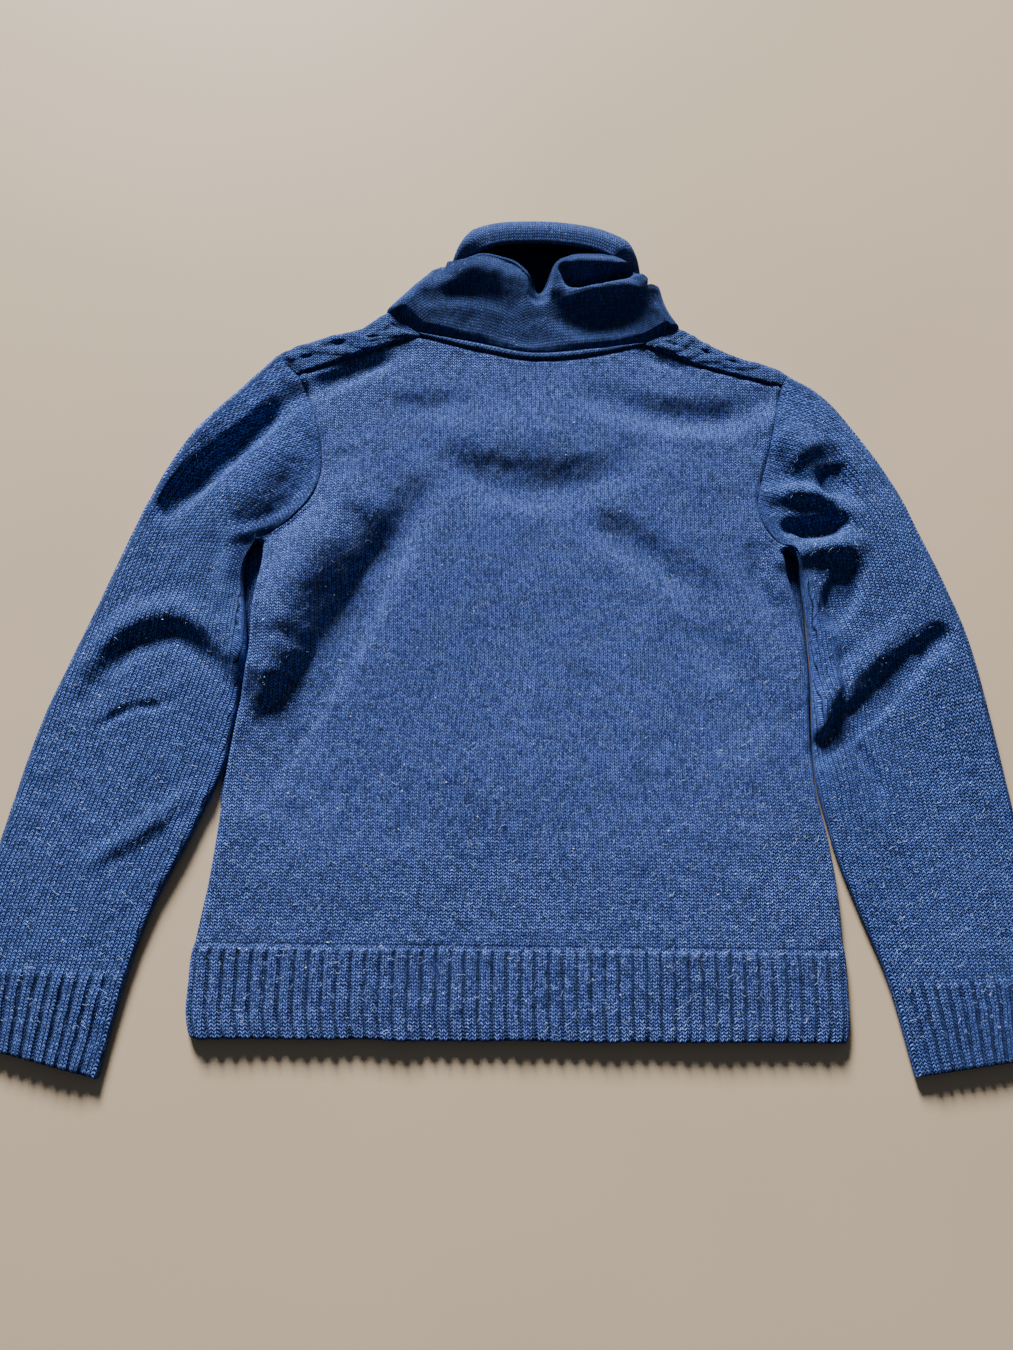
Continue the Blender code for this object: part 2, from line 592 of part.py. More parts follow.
def front():
    wall = Wall()
    holes = {side: armhole(side) for side in OUTWARD}
    for side, hole in holes.items():
        hole[-1] -= [OUTWARD[side] * POCKET_CLEAR, 0]
    neck = front_neck()
    lobe_keys = np.linspace(0, 1, LOBE_COLUMNS + 1)
    neck_bottom = neck[LOBE_ROWS:FRONT_NECK_PARTS - LOBE_ROWS + 1]
    neck_keys = 1 + np.arange(len(neck_bottom))
    full_keys = np.concatenate([lobe_keys, neck_keys[1:], len(neck_bottom) + lobe_keys[1:]])
    share = full_keys / full_keys[-1]
    share[1], share[-2] = EDGE_SHARE, 1 - EDGE_SHARE
    outer, inner = [], []

    def add(under, over):
        outer.append(wall.row(Row(full_keys, under)))
        inner.append(wall.row(Row(full_keys, over)))

    for up in FRONT_ROWS:
        left, right = (np.array([front_edge(side, up), up]) for side in OUTWARD)
        add(*floor_row(left, right, share, UNDER_EDGE if up == 0 else 0.0))
    count = len(holes["left"])
    fade = lobe_keys[:-1]
    for n in range(count - 1, LOBE_ROWS, -1):
        under, over = floor_row(holes["left"][n], holes["right"][n], share)
        bow = ease((count - n) / (count - LOBE_ROWS)) * NECK_BOW
        bend = np.interp(full_keys, neck_keys, neck_bottom[:, 1] - over[LOBE_COLUMNS:-LOBE_COLUMNS, 1])
        bend[:LOBE_COLUMNS] *= fade
        bend[-LOBE_COLUMNS:] *= fade[::-1]
        under[:, 1] += bow * bend
        over[:, 1] += bow * bend
        add(under, over)
    left_under, left_over = floor_row(holes["left"][LOBE_ROWS], neck_bottom[0], lobe_keys)
    right_under, right_over = floor_row(neck_bottom[-1], holes["right"][LOBE_ROWS], lobe_keys)
    add(np.vstack([left_under[:-1], raised(neck_bottom, 0.0), right_under[1:]]),
        np.vstack([left_over[:-1], raised(neck_bottom, CLOTH), right_over[1:]]))
    wall.strips(outer)
    wall.strips(inner)
    wall.strip(outer[0], inner[0])
    wall.side(outer, inner, 0)
    wall.side(outer, inner, -1)
    middle = slice(LOBE_COLUMNS, LOBE_COLUMNS + len(neck_bottom))
    wall.strip(outer[-1][middle], inner[-1][middle])
    for side in OUTWARD:
        lobe(wall, side, outer[-1], inner[-1], neck)
    return wall


def lobe(wall, side, outer_branch, inner_branch, neck):
    """One shoulder of the front: on the floor, round the fold and over to the back's seam."""
    left = side == "left"
    hole = armhole(side)
    hole_centre, hole_out, hole_radius = armhole_fold(side)
    neck_centre, neck_out, neck_radius = neck_fold(side)
    neck_points = neck if left else neck[::-1]
    corner = np.array(NECK_LOWER[0] if left else NECK_LOWER[-1], float)
    keys = np.linspace(0, 1, LOBE_COLUMNS + 1)
    outer, inner = [], []
    for rows, branch in ((outer, outer_branch), (inner, inner_branch)):
        near = branch[:LOBE_COLUMNS + 1] if left else branch[-LOBE_COLUMNS - 1:][::-1]
        rows.append([(key, number) for key, (_, number) in zip(keys, near)])

    def add(outer_keys, outer_points, inner_keys, inner_points):
        outer.append(wall.row(Row(outer_keys, outer_points)))
        inner.append(wall.row(Row(inner_keys, inner_points)))

    for n in range(LOBE_ROWS - 1, 0, -1):
        under, over = floor_row(hole[n], neck_points[n], keys)
        under[-1][2] = 0.0
        add(keys, under, keys, over)

    fold_keys = np.linspace(0, 1, SHOULDER_FOLD_PARTS + 1)
    shoulder = curve(SHOULDER_FOLD[side], fold_keys)
    coarse = seam_columns(side) if left else 1 - seam_columns(side)[::-1]
    places = np.arange(len(coarse))
    fine = np.interp(np.linspace(0, places[-1], places[-1] * CABLE_PARTS + 1), places, coarse)
    taper = ease(np.minimum(fine, 1 - fine) / CABLE_ENDS)

    def section(fractions):
        """Plan centres, outward directions and radii of the fold at fractions from armhole to neck."""
        edge = np.column_stack([np.interp(fractions, fold_keys, shoulder[:, axis]) for axis in (0, 1)])
        blend = fractions[:, None]
        outward = hole_out + (neck_out - hole_out) * blend
        square = sideways(edge) * -OUTWARD[side]
        outward = outward + (square - outward) * (4 * blend * (1 - blend)) ** 0.5
        outward /= np.hypot(*outward.T)[:, None]
        radius = np.empty(len(edge))
        centre = np.empty_like(edge)
        for n, (point, direction) in enumerate(zip(edge, outward)):
            centre[n], _, radius[n] = edge_centre(point, point - direction, garment_top)
        centre[0], radius[0] = hole_centre, hole_radius
        centre[-1], radius[-1] = neck_centre, neck_radius
        return centre, outward, radius

    def turned(fractions, angle, wall_depth, rise=0.0):
        """Points round the fold at an angle, on the wall's outside or some way into it."""
        centre, outward, radius = section(fractions)
        size = np.maximum(radius - wall_depth, FOLD_CORE) + rise
        return raised(centre + outward * (size * math.cos(angle))[:, None], radius + size * math.sin(angle))

    for angle in np.radians([-90, -45, 0]):
        add(coarse, turned(coarse, angle, 0.0), coarse, turned(coarse, angle, CLOTH))
    for angle, lean in zip(np.radians([45, 90]), (CABLE_LEAN, 1)):
        rise = strands(turned(fine, angle, 0.0)[:, :2]) * taper * lean
        add(fine, turned(fine, angle, 0.0, rise), coarse, turned(coarse, angle, CLOTH))

    def strip_row(fractions, part):
        """Plan points part of the way from the fold to the shoulder seam."""
        start = section(fractions)[0]
        end = curve(SHOULDER_SEAM[side], fractions if left else 1 - fractions) + [0, SEAM]
        end[-1] = corner + [0, SEAM]
        reach = part * CAP_PARTS
        hole_point = hole_centre + (hole[1] - hole_centre) * reach if reach <= 1 else (
            hole[1] + (end[0] - hole[1]) * (reach - 1))
        plan = start + (end - start) * part
        return plan + np.outer(ease(1 - fractions / SEAM_PULL), hole_point - plan[0])

    for part in STRIP_ROWS:
        plan = strip_row(fine, part)
        inner_plan = strip_row(coarse, part)
        rise = strands(plan) * taper if part < 1 else 0.0
        add(fine, raised(plan, garment_top(*plan.T) + rise), coarse,
            raised(inner_plan, underneath(inner_plan, garment_top(*inner_plan.T), garment_top)))
    wall.strips(outer)
    wall.strips(inner)
    wall.side(outer, inner, 0)
    wall.side(outer, inner, -1)
    wall.strip(outer[-1], inner[-1])


def neckband():
    lower = neck_lower() + [0, SEAM]
    upper = neck_upper() - [0, SEAM]
    for line in (lower, upper):
        line[0] += [BAND_CLEAR, 0]
        line[-1] -= [BAND_CLEAR, 0]
    keys = np.arange(len(lower))
    rows = []
    for across, rise in BAND_ROWS:
        plan = lower + (upper - lower) * across
        top = garment_top(*plan.T)
        rows.append((Row(keys, raised(plan, top + rise)), Row(keys, raised(plan, top + rise / 2 - CLOTH))))
    return panel(*zip(*rows))


def sleeve(side):
    seam = armhole(side)
    steps = np.concatenate([[0], np.cumsum(np.hypot(*np.diff(seam, axis=0).T))])
    share = steps / steps[-1]
    bow = seam - (seam[0] + np.outer(share, seam[-1] - seam[0]))
    parts = len(seam) - 1
    keys = np.arange(parts + 1.0)
    stations = SLEEVES[side]
    knots = np.arange(len(stations))
    cuff = math.dist(stations[-2][-2:], stations[-1][-2:])
    cuff_start = knots[-2]
    places = [(place, False, 0.0) for n, s in zip(knots, stations)
              for place in np.linspace(n, n + 1, s.rings, endpoint=False)]
    places += [(cuff_start + RIB_FADE / cuff, True, 0.0), (cuff_start + 1 - EDGE_STEP / cuff, True, 0.0),
               (cuff_start + 1, True, EDGE_DROP)]
    turn = len(ROLL_ANGLES)
    near_keys = parts + 1 + np.arange(turn)
    far_keys = 2 * parts + 2 + turn + np.arange(turn)
    outer_rings, inner_rings = [], []
    for place, rib, drop in places:
        outer_end, inner_end = (
            np.array([smooth(knots, [getattr(s, name) for s in stations], place) for name in pair], float)
            for pair in (("outer_x", "outer_y"), ("inner_x", "inner_y")))
        if BESIDE_BODY[0] < inner_end[1] < BESIDE_BODY[1]:
            inner_end[0] = sleeve_edge(side, inner_end[1])
        line = outer_end + np.outer(share, inner_end - outer_end) + (1 - ease(place / CURVED_STATIONS)) * bow
        shift = np.zeros_like(line)
        if place == 0:
            line = seam
            shift = sideways(seam) * OUTWARD[side] * SEAM
        first = edge_centre(line[0], line[1], garment_top)
        final = edge_centre(line[-1], line[-2], garment_top)
        if place > 0:
            inset = np.array([first[2], final[2]]) / math.dist(line[0], line[-1])
            inside = inset[0] + share * (1 - sum(inset))
            line = np.column_stack([np.interp(inside, share, line[:, axis]) for axis in (0, 1)])
        top_plan = line.copy()
        top_plan[0], top_plan[-1] = first[0], final[0]
        top = garment_top(*top_plan.T)
        under = underneath(top_plan, top, garment_top)
        top[0], top[-1] = 2 * first[2], 2 * final[2]
        under[0], under[-1] = 2 * first[2] - CLOTH, 2 * final[2] - CLOTH
        top_plan = top_plan + shift
        outer_top = Row(keys, raised(top_plan, top - drop))
        if rib:
            fractions = rib_fractions(CUFF_RIBS)
            fine_keys = fractions * parts
            fine = np.column_stack([np.interp(fine_keys, keys, top_plan[:, axis]) for axis in (0, 1)])
            crest = np.interp(fine_keys, keys, top) - drop + ribs(fractions, CUFF_RIBS, drop)
            outer_top = Row(fine_keys, raised(fine, crest))
        near = roll(final[0] + shift[-1], final[1], final[2])
        far = roll(first[0] + shift[0], first[1], first[2])
        floor = np.linspace(0, parts, (parts if place < 1 else UNDER_PARTS) + 1)
        base_plan = np.column_stack([np.interp(floor, keys, top_plan[::-1][:, axis]) for axis in (0, 1)])
        other_keys = [near_keys, parts + 1 + turn + floor, far_keys]
        outer_rings.append(Row(
            np.concatenate([outer_top.keys, *other_keys]),
            np.vstack([outer_top.points, near[0], raised(base_plan, drop * UNDERSIDE_DROP), far[0][::-1]])))
        inner_rings.append(Row(
            np.concatenate([keys, *other_keys]),
            np.vstack([raised(top_plan, under), near[1], raised(base_plan, CLOTH), far[1][::-1]])))
    return tube(outer_rings, inner_rings, 2 * (parts + 1 + turn))


def collar():
    upper = neck_upper()
    folds = {side: neck_fold(side) for side in OUTWARD}
    corner_run = np.array([[0.0], [0.5]])
    seam_top = np.vstack([folds["left"][0] + corner_run * (upper[0] - folds["left"][0]), upper,
                          folds["right"][0] + corner_run[::-1] * (upper[-1] - folds["right"][0])])
    seam_under = front_neck()[::-1]
    top_count, under_count = len(seam_top), len(seam_under)
    across = (seam_top[:, 0] - seam_top[0, 0]) / (seam_top[-1, 0] - seam_top[0, 0])
    rim_path = np.array(BACK_RIM, float)
    rim_share = (rim_path[:, 0] - rim_path[0, 0]) / (rim_path[-1, 0] - rim_path[0, 0])
    rim_top = np.column_stack([np.interp(across, rim_share, rim_path[:, 0]),
                               smooth(rim_share, rim_path[:, 1], across)])
    rim_under = curve(FRONT_RIM, np.linspace(1, 0, under_count))
    rim_in = -sideways(rim_under[::-1])[::-1]
    arch = np.sin(np.pi * np.linspace(0, 1, under_count)) ** 0.6
    sag = np.sin(np.pi * np.linspace(0, 1, top_count)) ** 0.5
    shares = [row.share for row in COLLAR_ROWS]
    edges = {side: curve(COLLAR_SIDE[side], shares) for side in OUTWARD}
    grid = []
    for n, row in enumerate(COLLAR_ROWS):
        top_plan = seam_top + (rim_top - seam_top) * row.share
        under_plan = seam_under + (rim_under - seam_under) * row.share
        corners = dict(folds)
        for side in OUTWARD if n else ():
            edge = edges[side][n] - unit(edges[side][-1] - edges[side][4]) * row.draw
            corners[side] = edge_centre(edge, edge - [OUTWARD[side], 0.3], collar_top)
        for plan, order in ((top_plan, ("left", "right")), (under_plan, ("right", "left"))):
            run = np.linspace(0, 1, len(plan))[:, None]
            near_pull = corners[order[0]][0] - plan[0]
            far_pull = corners[order[1]][0] - plan[-1]
            plan += np.clip(1 - run / CORNER_SHARE, 0, 1) * near_pull
            plan += np.clip(1 - (1 - run) / CORNER_SHARE, 0, 1) * far_pull
        crest = collar_top(*top_plan.T) if n else garment_top(*top_plan.T)
        crest = np.maximum(crest - row.sink * sag, LOWEST)
        crest[0], crest[-1] = 2 * corners["left"][2], 2 * corners["right"][2]
        away = np.array([0, 0 if n else SEAM])
        top_plan += away
        top_plan[1:-1] -= [0, row.tuck]
        under_plan += away + rim_in * (row.inward * arch)[:, None]
        right, left = (roll(corners[side][0] + away, *corners[side][1:]) for side in ("right", "left"))
        grid.append(np.vstack([raised(top_plan, crest), right[0], raised(under_plan, row.lift * arch), left[0][::-1]]))
        if n == 0:
            seam_inside = np.vstack([raised(top_plan, crest - CLOTH), right[1], raised(under_plan, CLOTH),
                                     left[1][::-1]])
    grid = np.array(grid)
    around = np.roll(grid, -1, axis=1) - np.roll(grid, 1, axis=1)
    normal = np.cross(np.gradient(grid, axis=0), around)
    normal /= np.linalg.norm(normal, axis=2)[:, :, None]
    inner = grid + normal * CLOTH
    inner[:, :top_count, 2] = np.maximum(inner[:, :top_count, 2], CLOTH + SEAM)
    inner[0] = seam_inside
    keys = np.arange(grid.shape[1])
    return tube([Row(keys, ring) for ring in grid], [Row(keys, ring) for ring in inner], grid.shape[1])


def sleeve_left():
    return sleeve("left")


def sleeve_right():
    return sleeve("right")


Piece = namedtuple("Piece", "make colour")
PIECES = {
    "front": Piece(front, (0.040, 0.075, 0.190)),
    "back": Piece(back, (0.052, 0.100, 0.260)),
    "sleeve_left": Piece(sleeve_left, (0.046, 0.088, 0.230)),
    "sleeve_right": Piece(sleeve_right, (0.046, 0.088, 0.230)),
    "neckband": Piece(neckband, (0.044, 0.082, 0.210)),
    "collar": Piece(collar, (0.055, 0.105, 0.270)),
}


def main():
    for old in list(bpy.data.objects):
        bpy.data.objects.remove(old)
    walls = [(name, piece.make(), piece.colour) for name, piece in PIECES.items()]
    points = np.vstack([wall.points for _, wall, _ in walls])
    middle = (points.min(axis=0) + points.max(axis=0))[:2] / 2
    for name, wall, colour in walls:
        build(name, wall, colour, middle)


main()
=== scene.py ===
"""The looks of a knitted pullover sweater that lies flat on its front, back side up.

Each cloth piece is a fine knitted wall on the form of its solid: folds, ribs, cables and seams
are in its shape, and the stitches are in its finish. Tables are in millimetres, measured from
the middle of the hem: x to the right, y towards the neck, z up from the surface it lies on.
"""

import functools
import math
from collections import namedtuple

import bmesh
import bpy
import numpy as np
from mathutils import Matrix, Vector


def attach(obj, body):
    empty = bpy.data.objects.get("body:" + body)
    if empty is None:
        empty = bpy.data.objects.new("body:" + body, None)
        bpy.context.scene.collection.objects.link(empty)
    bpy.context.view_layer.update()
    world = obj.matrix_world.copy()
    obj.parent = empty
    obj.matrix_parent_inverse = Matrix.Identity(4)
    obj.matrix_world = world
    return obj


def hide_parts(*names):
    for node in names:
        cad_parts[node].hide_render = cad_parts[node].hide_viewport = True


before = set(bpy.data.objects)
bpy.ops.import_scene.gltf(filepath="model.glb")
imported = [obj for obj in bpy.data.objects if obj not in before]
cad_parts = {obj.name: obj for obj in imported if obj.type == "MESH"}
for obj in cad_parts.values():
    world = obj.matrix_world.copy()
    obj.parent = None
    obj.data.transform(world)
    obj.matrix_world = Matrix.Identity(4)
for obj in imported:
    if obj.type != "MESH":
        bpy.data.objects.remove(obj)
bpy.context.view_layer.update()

MM = 0.001
MIDDLE = (-8.53, 336.49)  # the middle of the whole garment, from the middle of its hem

# ---------------------------------------------------------------- sizes, in millimetres
CLOTH = 2.4              # wall of the thick knit as it shows, a little under its solid's
CLEAR = 0.3              # air between two walls that lie on each other
SEAM = 0.1               # gap between two pieces at a seam
SIDE_CLEAR = 0.8         # gap between a sleeve and the side of the body that it lies against
POCKET_CLEAR = 0.4       # the same where the front's edge reaches out under a sleeve's round
BAND_CLEAR = 0.8         # gap at the neckband's two ends
LOWEST = 6.2             # lowest that a top wall's upper side lies: over two walls, with air to spare
SOFTEN = 0.8             # how softly a fold bottoms out on the wall below
STEEPEST = 1.8           # most that a sloping wall thickens when measured straight down

STITCH = 3.6             # width of a stitch of the thick knit
COURSE = 2.55            # height of one of its rows
FINE_STITCH = 2.1        # the same for the collar's finer knit
FINE_COURSE = 1.7
STITCHES_A_RIB = 3

RIB_TOP = 68.0           # height of the hem's rib band
RIB_FADE = 3.5           # length over which a rib runs out into plain knit
RIB_RISE = 2.2           # how far a rib stands up from the furrow beside it
HEM_RIBS = 46            # ribs across the back of the hem
CUFF_RIBS = 11           # ribs across the upper side of a cuff
EDGE_ROUND = 2.2         # how far a hem's or cuff's edge rounds over
EDGE_ROWS = np.array([0, 0.5, 1.2, 2.2, 3.5])  # the close rows at such an edge
HEM_WAVE = 0.8           # how far the hem's edge strays from straight, and how long its waves are
HEM_WAVE_LENGTH = 30
HEM_SCALLOP = 0.35       # share of a rib's rise by which the edge dips at it
HEM_FADE = 16            # height over which both die out
PINCH = 0.5              # how far the back draws in just above its ribs, and how high that is
PINCH_UP = 1.2
PINCH_HALF = 1.4
# how dark the shade painted in that draw-in is
PINCH_SHADE = 0.12

GROOVE_DEPTH = 1.0       # the groove at a sewn seam, half its width, and how dark the shade painted in it is
GROOVE_HALF = 1.6
GROOVE_SHADE = 0.3
RIDGE_RISE = 0.6         # the ridge of its allowance, how far off it lies, and half its width
RIDGE_OFF = 4.6
RIDGE_HALF = 2.2
FLANK_GROOVE = 0.8       # the seam along a sleeve's inner edge, and how far from the edge it runs
FLANK_OFF = 6
FLANK_FROM = 90          # length from the armhole at which it begins, and over which it fades in
FLANK_FADE = 40

SHOULDER_INSET = 7.5     # how far in from an armhole the back's turned columns reach
UNDER_EDGE = 1.2         # the front's outer edge lifts off the floor by this much
UNDER_STEP = 2.5         # and over this length
FOLD_CORE = 0.2          # smallest radius left inside a folded edge

CABLE_RISE = 2.8         # how far a cable's strands stand up
CABLE_HALF = 5.2         # half the width of one strand
CABLE_BAND = 0.62        # share of that rise in the thick band that the strands lie in
CABLE_DIP = 0.55         # share of it by which the small hollows between them go down
CREASE_SHADE = 0.8       # how dark the shade painted in the creases beside the strands is
STRIP_SEAM_DEPTH = 1.2   # how far a strip dips into the shoulder seam, and how dark the shade painted there is
STRIP_SEAM_SHADE = 0.9
CABLE_ENDS = 1 / 12      # share of a strip's width over which its strands run out at each side

# ---------------------------------------------------------------- tables, in millimetres
Side = namedtuple("Side", "up left right")  # the body's two side edges at a height above the hem
BODY_SIDES = [
    Side(-2, -250, 252), Side(4, -253, 254.5), Side(14, -255.5, 256), Side(40, -256, 256.5),
    Side(66, -254.5, 256), Side(78, -250.5, 254.5), Side(100, -248, 254), Side(150, -243, 249),
    Side(200, -239.5, 240), Side(250, -234, 238.5), Side(300, -226.5, 240), Side(350, -224.5, 233),
    Side(388, -221, 224), Side(402, -222, 222),
]

Lift = namedtuple("Lift", "up height")  # the top of the cloth where it has no fold
GARMENT_LIFT = [
    Lift(-60, 7.4), Lift(70, 7.6), Lift(200, 8.6), Lift(300, 10.5), Lift(400, 14.0),
    Lift(500, 16.5), Lift(560, 15.0), Lift(640, 15.0),
]
COLLAR_LIFT = [
    Lift(560, 15.0), Lift(590, 16.0), Lift(608, 19.5), Lift(625, 24.0), Lift(645, 28.0), Lift(680, 31.0),
]

Fold = namedtuple("Fold", "name height half path")  # half its width, and its path in plan
GARMENT_FOLDS = [
    Fold("left flank bump", 17, 45, [(-150, 430), (-174, 392), (-200, 345), (-222, 296)]),
    Fold("left flank knob", 7, 30, [(-196, 316), (-208, 272)]),
    Fold("left flank hollow", -7, 30, [(-184, 266), (-210, 224), (-226, 195)]),
    Fold("left flank trough", -10, 28,
         [(-84, 448), (-117, 388), (-150, 318), (-182, 260), (-206, 214), (-216, 194)]),
    Fold("left yoke lift", 4, 40, [(-160, 500), (-140, 440)]),
    Fold("yoke hollow", -5.5, 30, [(-100, 514), (-74, 480), (-39, 460), (5, 452), (57, 460), (104, 490)]),
    Fold("yoke bulge", 4, 34, [(-42, 500), (34, 500)]),
    Fold("right shoulder hollow", -6.5, 24, [(62, 540), (130, 521), (184, 524), (214, 540)]),
    Fold("right chest hollow", -5, 27, [(52, 426), (112, 388), (152, 356)]),
    Fold("right waist hollow", -4.5, 30, [(158, 322), (186, 280), (178, 240)]),
    Fold("left yoke hollow", -3, 20, [(-105, 524), (-55, 528)]),
    Fold("left shoulder hollow", -6, 17, [(-190, 536), (-150, 560), (-108, 580)]),
    Fold("right neck hollow", -3, 12, [(106, 584), (148, 566)]),
    Fold("right armhole hollow", -4, 16, [(196, 396), (202, 364), (219, 334)]),
    Fold("low back swell", 1.6, 60, [(-60, 190), (40, 205)]),
    Fold("low left swell", 1.4, 48, [(-190, 150), (-150, 110)]),
    Fold("left sleeve rim", 4, 18, [(-240, 552), (-274, 508), (-300, 466), (-322, 424)]),
    Fold("left sleeve hollow", -12.5, 19, [(-302, 426), (-269, 464), (-236, 497), (-202, 533)]),
    Fold("left sleeve cap", 9, 36, [(-196, 500), (-226, 454), (-254, 416)]),
    Fold("left elbow ridge", 5, 18, [(-357, 290), (-327, 324), (-291, 336), (-258, 320), (-232, 292)]),
    Fold("left elbow trough", -4.5, 16, [(-354, 260), (-326, 302), (-290, 314), (-258, 294), (-234, 264)]),
    Fold("left elbow crease", -2.5, 7, [(-345, 236), (-320, 252), (-288, 258)]),
    Fold("left forearm fold", 3.5, 13, [(-340, 130), (-300, 156), (-268, 184)]),
    Fold("left inner fold", 6, 15, [(-246, 402), (-249, 350), (-236, 304)]),
    Fold("left underarm seam", 3, 9, [(-246, 400), (-222, 410), (-194, 427), (-180, 450)]),
    Fold("right sleeve cap", 10, 29, [(222, 514), (236, 496), (250, 480)]),
    Fold("right cap dip", -16, 23, [(264, 482), (269, 466), (276, 450)]),
    Fold("right pocket", -16, 12, [(229, 420), (250, 420), (276, 427)]),
    Fold("right pocket upper lip", 8, 14, [(214, 450), (244, 451), (280, 443)]),
    Fold("right pocket lower lip", 8, 15, [(222, 392), (250, 400), (286, 406)]),
    Fold("right arm dip", -15, 20, [(279, 380), (271, 364), (261, 344)]),
    Fold("right inner fold", 7, 14, [(232, 406), (242, 376), (248, 347), (254, 317), (256, 287), (247, 244)]),
    Fold("right inner groove", -3, 9, [(271, 312), (266, 278), (258, 244)]),
    Fold("right elbow trough", -13.5, 16, [(350, 326), (318, 296), (292, 268), (266, 246), (244, 226)]),
    Fold("right elbow ridge", 6, 18, [(244, 252), (276, 292), (320, 332)]),
    Fold("right elbow crease", -4, 8, [(274, 234), (283, 218), (293, 198)]),
    Fold("right outer swell", 4, 34, [(316, 430), (342, 350), (360, 258)]),
]
COLLAR_FOLDS = [
    Fold("roll top", 6, 11, [(26, 640), (27, 653), (38, 661), (58, 663), (78, 662), (97, 655), (112, 645)]),
    Fold("roll pocket", -15, 8, [(33, 655), (40, 646), (60, 647), (79, 652), (98, 657)]),
    Fold("roll bulge", 6, 13, [(34, 633), (58, 637), (84, 641), (112, 640)]),
    Fold("roll shadow", -3.5, 17, [(18, 620), (42, 611), (76, 609), (108, 618)]),
    Fold("mouth notch", -17, 12, [(12, 684), (12, 656), (11, 634)]),
    Fold("left lump", 5, 18, [(-70, 648), (-45, 656), (-16, 649)]),
    Fold("left collar hollow", -2.5, 13, [(-86, 628), (-50, 632), (-14, 624)]),
    Fold("left corner sink", -10, 22, [(-90, 664), (-84, 656)]),
    Fold("right corner sink", -10, 22, [(124, 652), (122, 642)]),
]

# Seams in plan. An armhole runs from the shoulder's fold to the underarm, in two stretches.
ARMHOLE_CAP = {"left": [(-222, 574), (-211, 564), (-200, 553.5)],
               "right": [(235, 568), (231.5, 561.5), (228, 554)]}
ARMHOLE_BACK = {"left": [(-200, 553.5), (-192, 538), (-183.5, 515), (-176, 484), (-175.5, 458),
                         (-183, 436), (-199, 418), (-217, 406), (-229, 399)],
                "right": [(228, 554), (223.5, 538), (218, 515), (212, 486), (204.5, 458),
                          (201.5, 440), (207, 420), (216, 408), (227, 400)]}
SHOULDER_SEAM = {"left": [(-200, 553.5), (-151, 573), (-120, 586), (-92, 594.7)],
                 "right": [(102.5, 590.8), (122, 585), (148.6, 573.5), (184, 564), (228, 554)]}
SHOULDER_FOLD = {"left": [(-222, 574), (-198, 585), (-175, 594), (-148, 602), (-126, 620)],
                 "right": [(235, 568), (214, 577), (191, 583), (162, 597), (139, 612)]}
NECK_LOWER = [(-92, 594.7), (-48, 583), (4, 574), (56, 579), (102.5, 590.8)]
NECK_UPPER = [(-97.5, 599), (-48, 591), (4, 581.5), (56, 586.5), (108.5, 594.3)]
FRONT_NECK = [(-95, 572), (-55, 535), (8, 520), (70, 533), (112, 568)]
COLLAR_SIDE = {"left": [(-126, 620), (-112, 634), (-98, 648), (-82, 664)],
               "right": [(139, 612), (129, 626), (123, 640), (119, 652)]}
BACK_RIM = [(-82, 661), (-62, 663), (-43, 669), (-25, 667), (-8, 661), (3, 650), (11, 640), (18, 648),
            (25, 661), (36, 668), (60, 672), (79, 670), (97, 661), (109, 654), (119, 649)]
FRONT_RIM = [(-82, 664), (-67, 689), (-38, 704.5), (4, 710), (38, 709), (72, 702), (104, 682), (119, 652)]

# Stations down a sleeve from its armhole to its cuff: its outer and its inner edge in plan.
Station = namedtuple("Station", "outer_x outer_y inner_x inner_y")
SLEEVES = {
    "left": [
        Station(-222, 574, -229, 399), Station(-251, 541, -235, 395.5), Station(-286, 500, -237.5, 379),
        Station(-309, 460, -235, 355), Station(-327, 419, -231, 330), Station(-350, 355, -228, 296),
        Station(-373, 291, -233, 255), Station(-391, 238, -240, 210), Station(-408, 163, -262, 152),
        Station(-420, 100, -286, 99), Station(-425, 50, -302, 46), Station(-423, -4, -317, -30),
    ],
    "right": [
        Station(235, 568, 227, 400), Station(266, 547, 232.5, 396.5), Station(295, 509, 236, 380),
        Station(325, 460, 238, 352), Station(342, 419, 240, 328), Station(363, 367, 241, 296),
        Station(380, 314, 239.6, 258), Station(396, 221, 240, 206), Station(405, 149, 252, 148),
        Station(408, 100, 268, 101), Station(407, 49, 288, 46), Station(403, -9, 304, -24),
    ],
}

# A cable's strands where they come over the shoulder.
CABLE_STRANDS = [
    [(-219, 566), (-196, 574), (-172, 590)], [(-205, 582), (-184, 578), (-160, 576)],
    [(-172, 590), (-158, 588), (-140, 582)], [(-160, 592), (-146, 590), (-128, 594), (-102, 598)],
    [(-150, 584), (-130, 600), (-118, 612)], [(140, 606), (124, 598), (108, 594)],
    [(150, 600), (134, 588), (118, 590)], [(162, 592), (152, 584), (140, 580)],
    [(184, 580), (172, 578), (156, 578)], [(206, 574), (194, 572), (178, 574)],
]

# Small hollows between the strands: where they are with their angle, and their half length and width.
CABLE_HOLLOWS = [
    ((-165.0, 585.0, 0.3), (6.5, 2.2)), ((-193.0, 571.0, 0.2), (5.0, 1.2)),
    ((-136.0, 592.0, 0.1), (7.0, 1.1)), ((-117.0, 604.0, -0.5), (6.0, 1.6)),
    ((-105.0, 593.0, 0.2), (5.0, 1.1)), ((-212.0, 573.0, 0.9), (4.0, 1.0)),
    ((124.0, 602.0, -0.5), (7.5, 1.8)), ((134.0, 592.0, -0.4), (7.0, 1.6)),
    ((160.0, 586.0, -0.4), (7.0, 1.3)), ((190.0, 575.0, -0.25), (6.5, 1.1)),
    ((116.0, 592.0, 0.5), (4.0, 1.2)),
]

